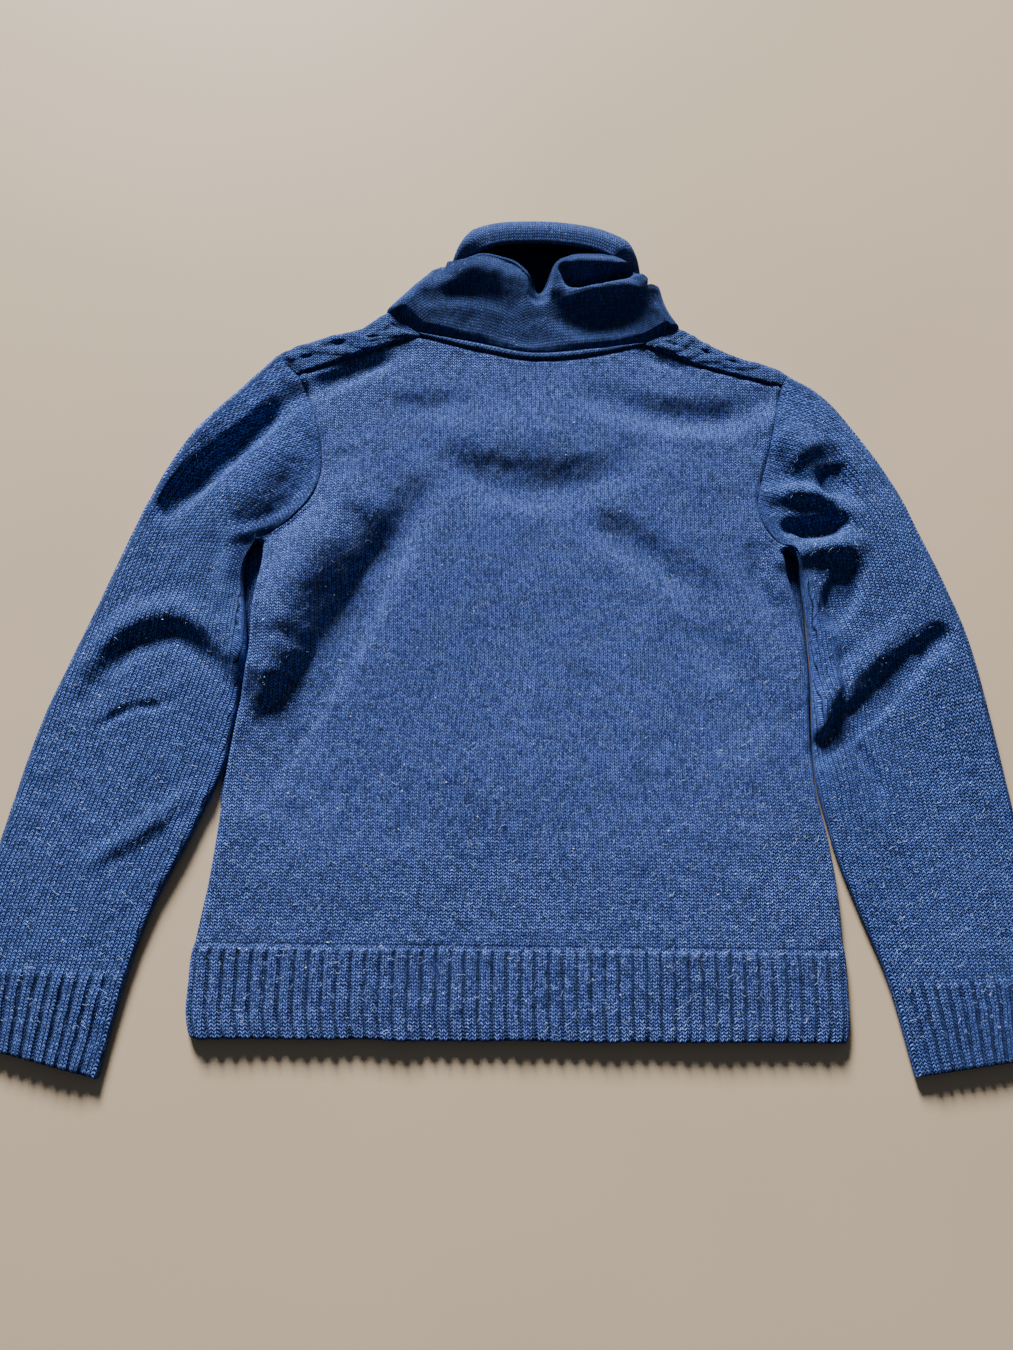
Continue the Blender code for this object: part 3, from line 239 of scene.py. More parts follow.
# How far the neckband stands up over the cloth beside it, across its width.
BandRow = namedtuple("BandRow", "across rise")
BAND_PROFILE = [BandRow(0, -0.6), BandRow(0.14, 0.9), BandRow(0.4, 2.0), BandRow(0.7, 1.7), BandRow(0.9, 0.7),
                BandRow(1, -0.6)]
BAND_COURSES = 3         # rows of stitches across the neckband
BAND_SHADE = 0.9         # how dark the shade painted on it at its two seams is, and over which share of its width
BAND_SHADE_WIDTH = 0.2

# Rows of the collar: the share of the way up, how far in and up the front rim's roll is there,
# how far the back rim's roll tucks in and sinks, and how far its two side edges draw in.
CollarRow = namedtuple("CollarRow", "place share inward lift tuck sink draw")
COLLAR_ROWS = [
    CollarRow(0, 0.0, 0, 0, 0, 0, 0), CollarRow(4, 0.74, 0, 0, 0, 0, 0), CollarRow(5, 0.86, 0, 0, 0, 0, 0),
    CollarRow(6, 0.94, 4, 3, 0, 0, 3.2), CollarRow(7, 0.97, 0, 14, 0, 0, 2.4),
    CollarRow(8, 1.0, 2.5, 26, 0, 0, 1.6), CollarRow(9, 1.0, 14, 33, 2.0, 2.5, 0.8),
    CollarRow(10, 1.0, 28, 31, 3.2, 8.0, 0),
]

# How finely each piece is sampled.
BODY_COLUMNS = 8 * HEM_RIBS
EDGE_COLUMNS = 6         # columns round each turned edge of the back
BODY_STEP = 2.9          # rows of the back below the underarm
ARMHOLE_ROWS = 70
ARMHOLE_STEP = 2.4       # about the length from one of them to the next
SLEEVE_COLUMNS = 96
SLEEVE_STEP = 2.4
SLEEVE_TURN = np.radians([67.5, 45, 22.5, 0, -22.5, -45, -67.5])  # columns round its edges
SLEEVE_FLOOR = 12        # stretches across its underside
TURN_WIDTH = 0.06        # share of a sleeve's width that its stitch map gives to a turned edge
NECK_COLUMNS = 150
BAND_ROWS = 10
COLLAR_UNDER = 72        # stretches across the collar's lower side
COLLAR_SEAM_ENDS = 12    # stretches from the neckline's ends to the folds at its sides
COLLAR_TURN = np.radians([72, 54, 36, 18, 0, -18, -36, -54, -72])
COLLAR_PLACES = np.unique(np.concatenate([np.linspace(0, 5, 41), np.linspace(5, 10, 31)]))
PLACE_LENGTH = 12        # length of collar that one place of its table stands for, at its seam
PLACE_ON_MAP = 9.0       # and the length that its stitch map gives to it
UNDER_WALES = 40         # stitches by which the map of its lower side is moved along
POCKET_SHADE = 0.85      # how dark the shade painted in the roll's pocket is, and on the collar's inside
INSIDE_SHADE = 0.95
ARCH_STEEP = 1.6         # how fast its front rim's roll grows from its corners, and its back rim's
SAG_STEEP = 2.2
CORNER_SHARE = 0.2       # share of the collar's width that its rounded corners pull on
CORNER_TAPER = 0.3       # how much lower the collar's rounded corners are at its rim
NORMAL_PASSES = 12       # rounds of evening out the directions in which the collar's wall is thick
LOBE_ROWS = 4            # rows of a shoulder lobe on the floor, up from the neckline's low stretch
LOBE_COLUMNS = 4         # stretches across a lobe, from the armhole to the neckline
FRONT_NECK_COLUMNS = 12
FRONT_TURN = 0.02        # share of the front's width from its edge to its next column
CAP_PARTS = 2
ARMHOLE_PARTS = 12
SHOULDER_FOLD_PARTS = 8
STRIP_COLUMNS = 110      # a shoulder strip's columns
STRIP_ROWS = 22
STRIP_INNER = 16         # stretches across its hidden side
STRIP_TURN = 8           # its rows round the upper half of the fold
SEAM_PULL = 0.1          # share of a shoulder strip that follows the armhole's curve
NECK_BOW = 0.8           # share of the neckline's curve that the front's rows below it take on
CURVED_STATIONS = 4      # sleeve stations over which the armhole's curve runs out
BESIDE_BODY = (160, 399) # heights between which a sleeve lies against the body
FOLD_SAMPLES = 6         # points along a fold for each point of its path
END_SHARE = 0.45         # share of a fold's height that is left at its two ends
END_FADE = 0.3           # share of its length over which it loses the rest
FRONT_ROWS = [0, 1.4, 40, 69.5, 120, 165, *range(172, 390, 8), 395]
POCKET_BASE = (170, 215) # heights over which the front's edge comes to reach out under the sleeve's
FIBRE_STEPS = 4          # points along a stray fibre
STRAY_ACROSS = (-425, 410)  # where fibres and lint lie, and how far in from an outer edge
STRAY_UP = (0, 552)
STRAY_MARGIN = 9
FIBRES = 5200
FIBRE_LENGTH = (2.0, 6.5)
FIBRE_RADIUS = (0.07, 0.13)
FIBRE_LIFT = (0.2, 1.0)  # how far a fibre's middle stands off the knit
FIBRE_BEND = 1.3         # radians from its one end to the other
SPECKS = 150
SPECK_SIZE = (0.35, 0.85)
SPECK_LIFT = 0.3
OUTWARD = {"left": -1, "right": 1}

# Unevenness of the cloth: how high its lumps are, and about how wide.
GARMENT_ROUGH = [(0.55, 23), (0.40, 9), (0.22, 4.5)]
COLLAR_ROUGH = [(0.45, 14), (0.18, 6)]


# ---------------------------------------------------------------- curves and heights
def smooth(keys, values, at):
    """Values at the given places of a smooth curve through (key, value) pairs."""
    keys = np.asarray(keys, float)
    values = np.asarray(values, float)
    slopes = np.gradient(values, keys)
    at = np.clip(at, keys[0], keys[-1])
    cell = np.clip(np.searchsorted(keys, at) - 1, 0, len(keys) - 2)
    span = keys[cell + 1] - keys[cell]
    t = (at - keys[cell]) / span
    rest = 1 - t
    return ((1 + 2 * t) * rest ** 2 * values[cell] + t * rest ** 2 * span * slopes[cell]
            + t * t * (3 - 2 * t) * values[cell + 1] - t * t * rest * span * slopes[cell + 1])


def listed(table, name):
    """One column of a table."""
    return np.array([getattr(row, name) for row in table], float)


def column(table, name, at):
    """One column of a table, read smoothly at the given heights."""
    return smooth(listed(table, "up"), listed(table, name), at)


def shares(parts):
    """Even fractions from 0 to 1."""
    return np.linspace(0, 1, parts + 1)


def curve(path, fractions):
    """Points at fractions of the way along a smooth curve through a path's points."""
    path = np.asarray(path, float)
    steps = np.hypot(*np.diff(path, axis=0).T)
    keys = np.concatenate([[0], np.cumsum(steps)]) / steps.sum()
    fractions = np.asarray(fractions, float)
    return np.stack([smooth(keys, path[:, axis], fractions) for axis in range(path.shape[1])], axis=1)


def ease(t):
    """A soft step from 0 to 1."""
    t = np.clip(t, 0, 1)
    return t * t * (3 - 2 * t)


def bell(distance, half):
    """A soft bump of height 1, as high as it is at a distance from its middle."""
    return np.exp(-(distance / half) ** 2)


@functools.cache
def fold_line(path):
    """Closely spaced points along the smooth curve through a fold's path."""
    return curve(path, shares(FOLD_SAMPLES * (len(path) - 1)))


def away_from(x, y, line):
    """Distance in plan from points to a line, and how far along the line they are, from 0 to 1."""
    nearest = np.full(np.shape(x), np.inf)
    along = np.zeros(np.shape(x))
    for n, (start, end) in enumerate(zip(line[:-1], line[1:])):
        run = end - start
        t = np.clip(((x - start[0]) * run[0] + (y - start[1]) * run[1]) / (run @ run), 0, 1)
        gone = np.hypot(x - start[0] - t * run[0], y - start[1] - t * run[1])
        along = np.where(gone < nearest, (n + t) / (len(line) - 1), along)
        nearest = np.minimum(nearest, gone)
    return nearest, along


def swell(x, y, path, half):
    """A soft ridge of height 1 along a path: a cosine across it, lower towards both ends."""
    line = fold_line(tuple(path))
    ridge = np.zeros(np.shape(x))
    near = ((x > line[:, 0].min() - half) & (x < line[:, 0].max() + half)
            & (y > line[:, 1].min() - half) & (y < line[:, 1].max() + half))
    if np.any(near):
        gone, along = away_from(x[near], y[near], line)
        across = (1 + np.cos(np.pi * np.clip(gone / half, 0, 1))) / 2
        ridge[near] = across * (END_SHARE + (1 - END_SHARE) * ease(np.minimum(along, 1 - along) / END_FADE))
    return ridge


def height(x, y, lift, folds, rough):
    """Top of a wall over the floor: its lift and folds, never below the wall under it, and lumps."""
    x = np.atleast_1d(np.asarray(x, float))
    y = np.atleast_1d(np.asarray(y, float))
    top = column(lift, "height", y)
    for fold in folds:
        top = top + fold.height * swell(x, y, fold.path, fold.half)
    top = LOWEST + SOFTEN * np.logaddexp(0, (top - LOWEST) / SOFTEN)
    return top + sum(amount * uneven(x, y, size) for amount, size in rough)


RANDOM_HEIGHTS = np.random.default_rng(11).uniform(-1, 1, (256, 256))


def uneven(x, y, size):
    """Smooth random unevenness between -1 and 1, in lumps of about the given size."""
    x, y = np.broadcast_arrays(np.asarray(x, float) / size + 80, np.asarray(y, float) / size + 80)
    column_at, row_at = np.floor(x).astype(int), np.floor(y).astype(int)
    across, up = ease(x - column_at), ease(y - row_at)
    corner = [RANDOM_HEIGHTS[(row_at + j) % 256, (column_at + i) % 256] for j in (0, 1) for i in (0, 1)]
    low = corner[0] + (corner[1] - corner[0]) * across
    high = corner[2] + (corner[3] - corner[2]) * across
    return low + (high - low) * up


def garment_top(x, y):
    """Upper side of the body, the sleeves and the shoulders."""
    return height(x, y, GARMENT_LIFT, GARMENT_FOLDS, GARMENT_ROUGH)


def collar_top(x, y):
    return height(x, y, COLLAR_LIFT, COLLAR_FOLDS, COLLAR_ROUGH)


def underneath(plan, top, surface):
    """Heights of a wall's inner side: the cloth's thickness below its top, square to the slope."""
    x, y = plan.T
    slope = np.hypot(surface(x + 1, y) - surface(x - 1, y), surface(x, y + 1) - surface(x, y - 1)) / 2
    thick = CLOTH * np.minimum(np.sqrt(1 + slope ** 2), STEEPEST)
    return np.maximum(top - thick, CLOTH + CLEAR)


def raised(plan, heights):
    """Plan points with their heights."""
    return np.column_stack([plan, np.broadcast_to(heights, len(plan))])


def unit(vector):
    return vector / np.linalg.norm(vector)


def sideways(path):
    """Offsets to the left of a plan path at its points, that move each stretch by exactly 1."""
    run = np.diff(path, axis=0)
    normals = np.column_stack([-run[:, 1], run[:, 0]]) / np.hypot(*run.T)[:, None]
    before = np.vstack([normals[:1], normals])
    after = np.vstack([normals, normals[-1:]])
    return (before + after) / (1 + np.sum(before * after, axis=1))[:, None]


def distances(path):
    """Length along a path from its first point to each of its points."""
    return np.concatenate([[0], np.cumsum(np.linalg.norm(np.diff(path, axis=0), axis=1))])


def between(keys, points, at):
    """Points between given ones, in straight stretches."""
    return np.column_stack([np.interp(at, keys, points[:, axis]) for axis in range(points.shape[1])])


def furrow(fraction, count):
    """How deep a place is in the furrows between a band's ribs, from 0 to 1."""
    off_centre = np.abs(fraction * count % 1 - 0.5) * 2
    return ease((off_centre - 0.48) / 0.5)


def ribs(fraction, count):
    """Rise of ribs across a band: ridges two stitches wide, parted by furrows of one."""
    off_centre = np.abs(fraction * count % 1 - 0.5) * 2
    return RIB_RISE * (0.75 - furrow(fraction, count)) - 0.3 * bell(off_centre, 0.12)


def seam_rise(distance):
    """Rise beside a sewn seam: a groove at it, and the soft ridge of its allowance next to it."""
    return -GROOVE_DEPTH * bell(distance, GROOVE_HALF) + RIDGE_RISE * bell(distance - RIDGE_OFF, RIDGE_HALF)


def seam_shade(distance):
    """How much shade is painted in a seam's groove, from 0 to 1."""
    return GROOVE_SHADE * bell(distance, GROOVE_HALF)


def edge_drop(distance):
    """How far a hem or cuff falls as it rounds over at its very edge."""
    t = np.clip(1 - distance / EDGE_ROUND, 0, 1)
    return EDGE_ROUND * (1 - np.sqrt(1 - 0.9 * t * t))


# ---------------------------------------------------------------- walls
def strip(a, b):
    """Faces between two rows of (key, number) pairs whose counts may differ."""
    faces = []
    i = j = 0
    while i < len(a) - 1 or j < len(b) - 1:
        next_a = a[i + 1][0] if i < len(a) - 1 else math.inf
        next_b = b[j + 1][0] if j < len(b) - 1 else math.inf
        if abs(next_a - next_b) < 1e-6:
            faces.append((a[i][1], a[i + 1][1], b[j + 1][1], b[j][1]))
            i, j = i + 1, j + 1
        elif next_a < next_b:
            faces.append((a[i][1], a[i + 1][1], b[j][1]))
            i += 1
        else:
            faces.append((a[i][1], b[j + 1][1], b[j][1]))
            j += 1
    return faces


def stitch_row(wales, courses, shade):
    """Stitch coordinates of a row of points, and how much shade is painted on each for the hollow it lies in.
    """
    return np.column_stack(np.broadcast_arrays(wales, courses, shade))


class Wall:
    """Points, stitch coordinates with the shade painted in their hollows, and faces of one closed wall, row
    by row.
    """

    def __init__(self):
        self.points = []
        self.stitches = []
        self.faces = []

    def row(self, keys, points, stitches):
        start = len(self.points)
        self.points.extend(map(tuple, points))
        self.stitches.extend(map(tuple, stitches))
        return [(key, start + n) for n, key in enumerate(keys)]

    def strips(self, rows):
        for a, b in zip(rows, rows[1:]):
            self.faces += strip(a, b)

    def side(self, outer, inner, end):
        for a, b, c, d in zip(outer, outer[1:], inner[1:], inner):
            self.faces.append((a[end][1], b[end][1], c[end][1], d[end][1]))


def grid_wall(outer, inner, stitches, closed=False, thin=4, inner_stitches=None):
    """A closed wall from a grid of outer points and a thinned grid of inner ones."""
    outer, inner, stitches = (np.array(rows) for rows in (outer, inner, stitches))
    inner_stitches = stitches if inner_stitches is None else np.array(inner_stitches)
    rows, columns = outer.shape[:2]
    kept_rows = np.unique(np.r_[0:rows:thin, rows - 1])
    kept_columns = np.unique(np.r_[0:columns:thin, columns - 1])
    wall = Wall()
    wall.points = np.vstack([outer.reshape(-1, 3), inner[np.ix_(kept_rows, kept_columns)].reshape(-1, 3)])
    wall.stitches = np.vstack([stitches.reshape(-1, 3),
                               inner_stitches[np.ix_(kept_rows, kept_columns)].reshape(-1, 3)])
    outer_at = np.arange(rows * columns).reshape(rows, columns)
    inner_at = rows * columns + np.arange(len(kept_rows) * len(kept_columns)).reshape(len(kept_rows), -1)
    for at in (outer_at, inner_at):
        if closed:
            at = np.column_stack([at, at[:, 0]])
        quads = np.stack([at[:-1, :-1], at[:-1, 1:], at[1:, 1:], at[1:, :-1]], axis=-1)
        wall.faces += quads.reshape(-1, 4).tolist()
    for outer_row, inner_row in ((0, 0), (-1, -1)):
        a = list(zip(range(columns), outer_at[outer_row].tolist()))
        b = list(zip(kept_columns.tolist(), inner_at[inner_row].tolist()))
        if closed:
            a.append((columns, a[0][1]))
            b.append((columns, b[0][1]))
        wall.faces += strip(a, b)
    if not closed:
        for end in (0, -1):
            wall.faces += strip(list(zip(range(rows), outer_at[:, end].tolist())),
                                list(zip(kept_rows.tolist(), inner_at[:, end].tolist())))
    return wall


def make_mesh(name, points, faces):
    """A mesh in the garment's place, in metres, from points in the tables' frame."""
    mesh = bpy.data.meshes.new(name)
    mesh.from_pydata(((np.array(points) - [*MIDDLE, 0]) * MM).tolist(), [], faces)
    return mesh


def make_piece(mesh, finish):
    """Make a mesh into a piece of the garment's one body."""
    mesh.materials.append(finish)
    piece = bpy.data.objects.new(mesh.name, mesh)
    bpy.context.scene.collection.objects.link(piece)
    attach(piece, "root")
    return piece


def wall_mesh(name, wall):
    """The mesh of a wall, with its faces out, its stitch map and the shade painted in its hollows."""
    mesh = make_mesh(name, wall.points, wall.faces)
    stitches = np.array(wall.stitches, np.float32)
    corners = np.empty(len(mesh.loops), np.int32)
    mesh.loops.foreach_get("vertex_index", corners)
    layer = mesh.uv_layers.new(name="stitches")
    layer.uv.foreach_set("vector", stitches[corners, :2].ravel())
    # painted shade: how dark each point is drawn for the hollow it lies in
    hollow = mesh.attributes.new("hollow", "FLOAT", "POINT")
    hollow.data.foreach_set("value", stitches[:, 2].copy())
    shape = bmesh.new()
    shape.from_mesh(mesh)
    bmesh.ops.dissolve_degenerate(shape, dist=1e-7, edges=shape.edges)
    bmesh.ops.recalc_face_normals(shape, faces=shape.faces)
    shape.to_mesh(mesh)
    shape.free()
    mesh.shade_smooth()
    return mesh


# ---------------------------------------------------------------- shared seams
def armhole_line(side, cap_parts, back_parts):
    """Seam points from the shoulder's fold to the underarm, in the seam's two stretches."""
    cap = curve(ARMHOLE_CAP[side], shares(cap_parts))
    rest = curve(ARMHOLE_BACK[side], shares(back_parts))
    return np.vstack([cap, rest[1:]])


def armhole(side, count):
    """The same seam, evenly spaced."""
    line = armhole_line(side, 8, 160)
    along = distances(line)
    return between(along, line, np.linspace(0, along[-1], count + 1))


def coarse_armhole(side):
    """The same seam, as the front's floor rows use it."""
    return armhole_line(side, CAP_PARTS, ARMHOLE_PARTS)


def edge_centre(edge, inner, surface):
    """Where a folded edge's round begins: its centre in plan, its outward direction and radius."""
    outward = unit(np.asarray(edge, float) - inner)
    radius = surface(*edge)[0] / 2
    centre = edge - outward * radius
    radius = surface(*centre)[0] / 2
    return edge - outward * radius, outward, radius


def armhole_fold(side):
    """The shoulder fold's round at the armhole."""
    points = coarse_armhole(side)
    return edge_centre(points[0], points[1], garment_top)


NECK_CORNER = {"left": (NECK_UPPER[0], FRONT_NECK[0]), "right": (NECK_UPPER[-1], FRONT_NECK[-1])}


def neck_fold(side):
    """The shoulder fold's round at the neck, shared by the front's lobe and the collar."""
    edge = np.array(COLLAR_SIDE[side][0], float)
    top, under = NECK_CORNER[side]
    inner = edge + unit(unit(np.array(top) - edge) + unit(np.array(under) - edge))
    return edge_centre(edge, inner, garment_top)


def front_neck(count):
    """The front's neckline on the floor, from the left side of the neck to the right."""
    ends = [neck_fold(side)[0] for side in OUTWARD]
    return curve([ends[0], *FRONT_NECK, ends[1]], shares(count))


def turn(centre, outward, radius, angles, depth=0.0):
    """Points round a folded edge at the given angles, on its outside or some way into the wall."""
    size = max(radius - depth, FOLD_CORE)
    return raised(centre + np.outer(size * np.cos(angles), outward), radius + size * np.sin(angles))


# ---------------------------------------------------------------- the back
def body_edge(side, up):
    """The body's side edge, at heights above the hem."""
    return column(BODY_SIDES, side, up)


def back():
    """The back: rows from the hem up to the underarm, then rows between its two armholes."""
    line = np.vstack([curve(SHOULDER_SEAM["left"], shares(120)), curve(NECK_LOWER, shares(160))[1:-1],
                      curve(SHOULDER_SEAM["right"], shares(120))])
    along = distances(line) / distances(line)[-1]
    inset = SHOULDER_INSET / distances(line)[-1]
    plain = np.linspace(inset, 1 - inset, BODY_COLUMNS + 1)
    turned = np.linspace(0, inset, EDGE_COLUMNS, endpoint=False)
    across = np.concatenate([turned, plain, 1 - turned[::-1]])
    line = between(along, line, across)
    bend = line - (line[0] + np.outer(across, line[-1] - line[0]))
    low = CLOTH + CLEAR
    middle = slice(EDGE_COLUMNS, -EDGE_COLUMNS)
    fraction = shares(BODY_COLUMNS)
    angles = np.linspace(0, np.pi / 2, EDGE_COLUMNS)
    hem_width = body_edge("right", RIB_TOP) - body_edge("left", RIB_TOP)

    def wales(x, up):
        """Stitch columns across the back: the hem's 3 to a rib, a little narrower higher up."""
        left, right = (body_edge(side, up) for side in OUTWARD)
        width = np.minimum(right - left, hem_width)
        stitch = (hem_width - 2 * SHOULDER_INSET) / (HEM_RIBS * STITCHES_A_RIB) * np.sqrt(width / hem_width)
        return HEM_RIBS * STITCHES_A_RIB / 2 + 0.5 + (x - (left + right) / 2) / stitch

    outer, inner, stitches = [], [], []
    ups = np.unique(np.concatenate([EDGE_ROWS, np.arange(5.5, RIB_TOP - 6, BODY_STEP),
                                    np.arange(RIB_TOP - 5, RIB_TOP + 5, 1.0),
                                    np.arange(RIB_TOP + 6, BESIDE_BODY[1], BODY_STEP)]))
    turned_ends = np.zeros(EDGE_COLUMNS)
    for up in ups:
        plan = np.empty((len(across), 2))
        plan[:, 1] = up
        top = np.empty(len(across))
        under = np.empty(len(across))
        inner_plan = plan.copy()
        for side, order in (("left", range(EDGE_COLUMNS + 1)), ("right", range(-1, -EDGE_COLUMNS - 2, -1))):
            edge = float(body_edge(side, up))
            inward = -OUTWARD[side]
            radius = min(garment_top(edge + inward * SHOULDER_INSET, up)[0] - low, SHOULDER_INSET)
            full = garment_top(edge + inward * radius, up)[0]
            radius = min(radius, full - low)
            inside = max(radius - CLOTH, FOLD_CORE)
            order = list(order)
            plan[order[0], 0] = edge
            top[order[0]] = low
            inner_plan[order[0], 0] = edge + inward * CLOTH
            under[order[0]] = low
            for n, angle in zip(order[1:], angles):
                plan[n, 0] = edge + inward * radius * (1 - math.cos(angle))
                top[n] = full - radius * (1 - math.sin(angle))
                inner_plan[n, 0] = edge + inward * (radius - inside * math.cos(angle))
                under[n] = full - radius + inside * math.sin(angle)
        plan[middle, 0] = np.interp(fraction, [0, 1], [plan[EDGE_COLUMNS, 0], plan[-EDGE_COLUMNS - 1, 0]])
        inner_plan[middle] = plan[middle]
        level = garment_top(*plan[middle].T)
        band = ease((RIB_TOP - up) / RIB_FADE)
        pinch = bell(up - RIB_TOP - PINCH_UP, PINCH_HALF)
        top[middle] = level + ribs(fraction, HEM_RIBS) * band - PINCH * pinch
        wave = HEM_WAVE * uneven(plan[middle, 0], 0, HEM_WAVE_LENGTH) - HEM_SCALLOP * ribs(fraction, HEM_RIBS)
        plan[middle, 1] += wave * ease(1 - up / HEM_FADE)
        top -= edge_drop(up) * np.clip((top - low) / 2, 0, 1)
        under[middle] = underneath(plan[middle], level, garment_top)
        outer.append(raised(plan, top))
        inner.append(raised(inner_plan, np.minimum(under, np.maximum(top - CLOTH / 2, low))))
        # painted shade in the ribs' furrows and in the draw-in above them
        shade = np.maximum(furrow(fraction, HEM_RIBS) * band, PINCH_SHADE * pinch)
        shade = np.concatenate([turned_ends, shade, turned_ends])
        stitches.append(stitch_row(wales(plan[:, 0], up), up / COURSE, shade))
    holes = {side: curve(ARMHOLE_BACK[side], np.linspace(1, 0, ARMHOLE_ROWS + 1))[1:] for side in OUTWARD}
    for n, (left, right) in enumerate(zip(holes["left"], holes["right"])):
        plan = left + np.outer(across, right - left) + ease((n + 1) / ARMHOLE_ROWS) * bend
        level = garment_top(*plan.T)
        to_seam = np.minimum(np.hypot(*(plan - left).T), np.hypot(*(plan - right).T))
        to_top = (ARMHOLE_ROWS - 1 - n) * ARMHOLE_STEP
        rise = seam_rise(to_seam) * ease(n / 6) + seam_rise(to_top)
        outer.append(raised(plan, level + rise))
        inner.append(raised(plan, underneath(plan, level, garment_top)))
        # painted shade in the armhole seams' grooves
        shade = np.maximum(seam_shade(to_seam) * ease(n / 6), seam_shade(to_top))
        stitches.append(stitch_row(wales(plan[:, 0], BESIDE_BODY[1]), plan[:, 1] / COURSE, shade))
    return grid_wall(outer, inner, stitches)


# ---------------------------------------------------------------- the sleeves
def inner_edge(side, up):
    """Where the sleeve's inner edge passes, above its last three stations, at heights above the hem."""
    stations = SLEEVES[side][:-3][::-1]
    return smooth(listed(stations, "inner_y"), listed(stations, "inner_x"), up)


def sleeve_edge(side, up):
    """The sleeve's inner edge, held just clear of the body's."""
    out = OUTWARD[side]
    return out * np.maximum(out * inner_edge(side, up), out * body_edge(side, up) + SIDE_CLEAR)


def sleeve(side):
    """A sleeve: rings from the armhole down to the cuff, each over the top and back along the floor."""
    stations = SLEEVES[side]
    knots = np.arange(len(stations))

    def ends(places):
        """The sleeve's outer and inner edge points at places between its stations."""
        outer_end, inner_end = (np.column_stack([smooth(knots, listed(stations, edge + axis), places)
                                                 for axis in ("_x", "_y")]) for edge in ("outer", "inner"))
        beside = (inner_end[:, 1] > BESIDE_BODY[0]) & (inner_end[:, 1] < BESIDE_BODY[1])
        inner_end[beside, 0] = sleeve_edge(side, inner_end[beside, 1])
        return outer_end, inner_end

    fine_places = np.linspace(0, knots[-1], 400)
    centre_line = sum(ends(fine_places)) / 2
    along = distances(centre_line)
    length = along[-1]
    marks = np.unique(np.concatenate([np.arange(0, length - 4, SLEEVE_STEP), length - EDGE_ROWS]))
    places = np.interp(marks, along, fine_places)
    cuff_from = np.interp(knots[-2], fine_places, along)
    seam = armhole(side, SLEEVE_COLUMNS)
    share = shares(SLEEVE_COLUMNS)
    bow = seam - (seam[0] + np.outer(share, seam[-1] - seam[0]))
    floor_share = shares(SLEEVE_FLOOR)
    turn_wide = (1 - np.sin(SLEEVE_TURN)) * TURN_WIDTH
    wide = np.concatenate([share, 1 + turn_wide, 1 - floor_share, -turn_wide])
    cuff_wales = wide * CUFF_RIBS * STITCHES_A_RIB + 0.5
    outer, inner, stitches = [], [], []
    outer_ends, inner_ends = ends(places)
    for mark, place, outer_end, inner_end in zip(marks, places, outer_ends, inner_ends):
        line = outer_end + np.outer(share, inner_end - outer_end) + (1 - ease(place / CURVED_STATIONS)) * bow
        shift = np.zeros((1, 2))
        if mark == 0:
            line = seam
            shift = sideways(seam)[[0, SLEEVE_COLUMNS // 2, -1]].mean(axis=0) * OUTWARD[side] * SEAM
        first = edge_centre(line[0], line[6], garment_top)
        final = edge_centre(line[-1], line[-7], garment_top)
        reach = distances(line)
        top_plan = between(reach, line, np.linspace(first[2], reach[-1] - final[2], SLEEVE_COLUMNS + 1))
        bridge = ease(1 - np.linspace(0, 12, SLEEVE_COLUMNS + 1))[:, None]
        top_plan += bridge * (first[0] - top_plan[0]) + bridge[::-1] * (final[0] - top_plan[-1])
        level = garment_top(*top_plan.T)
        width = reach[-1] - first[2] - final[2]
        band = ease((mark - cuff_from) / RIB_FADE)
        rise = ribs(share, CUFF_RIBS) * band + seam_rise(mark)
        flank = bell((1 - share) * width - FLANK_OFF, GROOVE_HALF)
        rise -= FLANK_GROOVE * flank * ease((mark - FLANK_FROM) / FLANK_FADE)
        fall = edge_drop(length - mark)
        edge_fade = ease(np.minimum(share, 1 - share) * 8)
        top = level + rise * edge_fade - fall
        top[0], top[-1] = 2 * first[2] - fall, 2 * final[2] - fall
        under = underneath(top_plan, level, garment_top)
        under[0], under[-1] = 2 * first[2] - CLOTH, 2 * final[2] - CLOTH
        top_plan = top_plan + shift
        near = [turn(final[0] + shift, *final[1:], SLEEVE_TURN, depth) for depth in (0, CLOTH)]
        far = [turn(first[0] + shift, *first[1:], SLEEVE_TURN[::-1], depth) for depth in (0, CLOTH)]
        floor = between(share, top_plan[::-1], floor_share)
        outer.append(np.vstack([raised(top_plan, top), near[0], raised(floor, fall * 0.5), far[0]]))
        under = np.minimum(under, top - CLOTH / 2)
        inner.append(np.vstack([raised(top_plan, under), near[1], raised(floor, CLOTH), far[1]]))
        plain_wales = CUFF_RIBS * STITCHES_A_RIB / 2 + 0.5 + (wide - 0.5) * width / STITCH
        rib_share = ease((mark - cuff_from + 30) / 30)
        wales = plain_wales + (cuff_wales - plain_wales) * rib_share
        # painted shade in the cuff's furrows and in the armhole seam's groove
        shade = np.maximum(furrow(share, CUFF_RIBS) * band * edge_fade, seam_shade(mark))
        shade = np.concatenate([shade, np.zeros(len(wales) - len(share))])
        stitches.append(stitch_row(wales, mark / COURSE, shade))
    return grid_wall(outer, inner, stitches, closed=True)


# ---------------------------------------------------------------- the front and its shoulders
def front_edge(side, up):
    """The front's edge: the body's, or further out where it closes the gap below the underarm."""
    body = float(body_edge(side, up))
    sleeve_side = float(sleeve_edge(side, up))
    radius = float(garment_top(sleeve_side, up)[0]) / 2
    under_round = radius - math.sqrt(radius ** 2 - (radius - CLOTH - CLEAR) ** 2) - POCKET_CLEAR
    reach = sleeve_side + OUTWARD[side] * under_round - body
    return body + reach * float(ease((up - POCKET_BASE[0]) / (POCKET_BASE[1] - POCKET_BASE[0])))


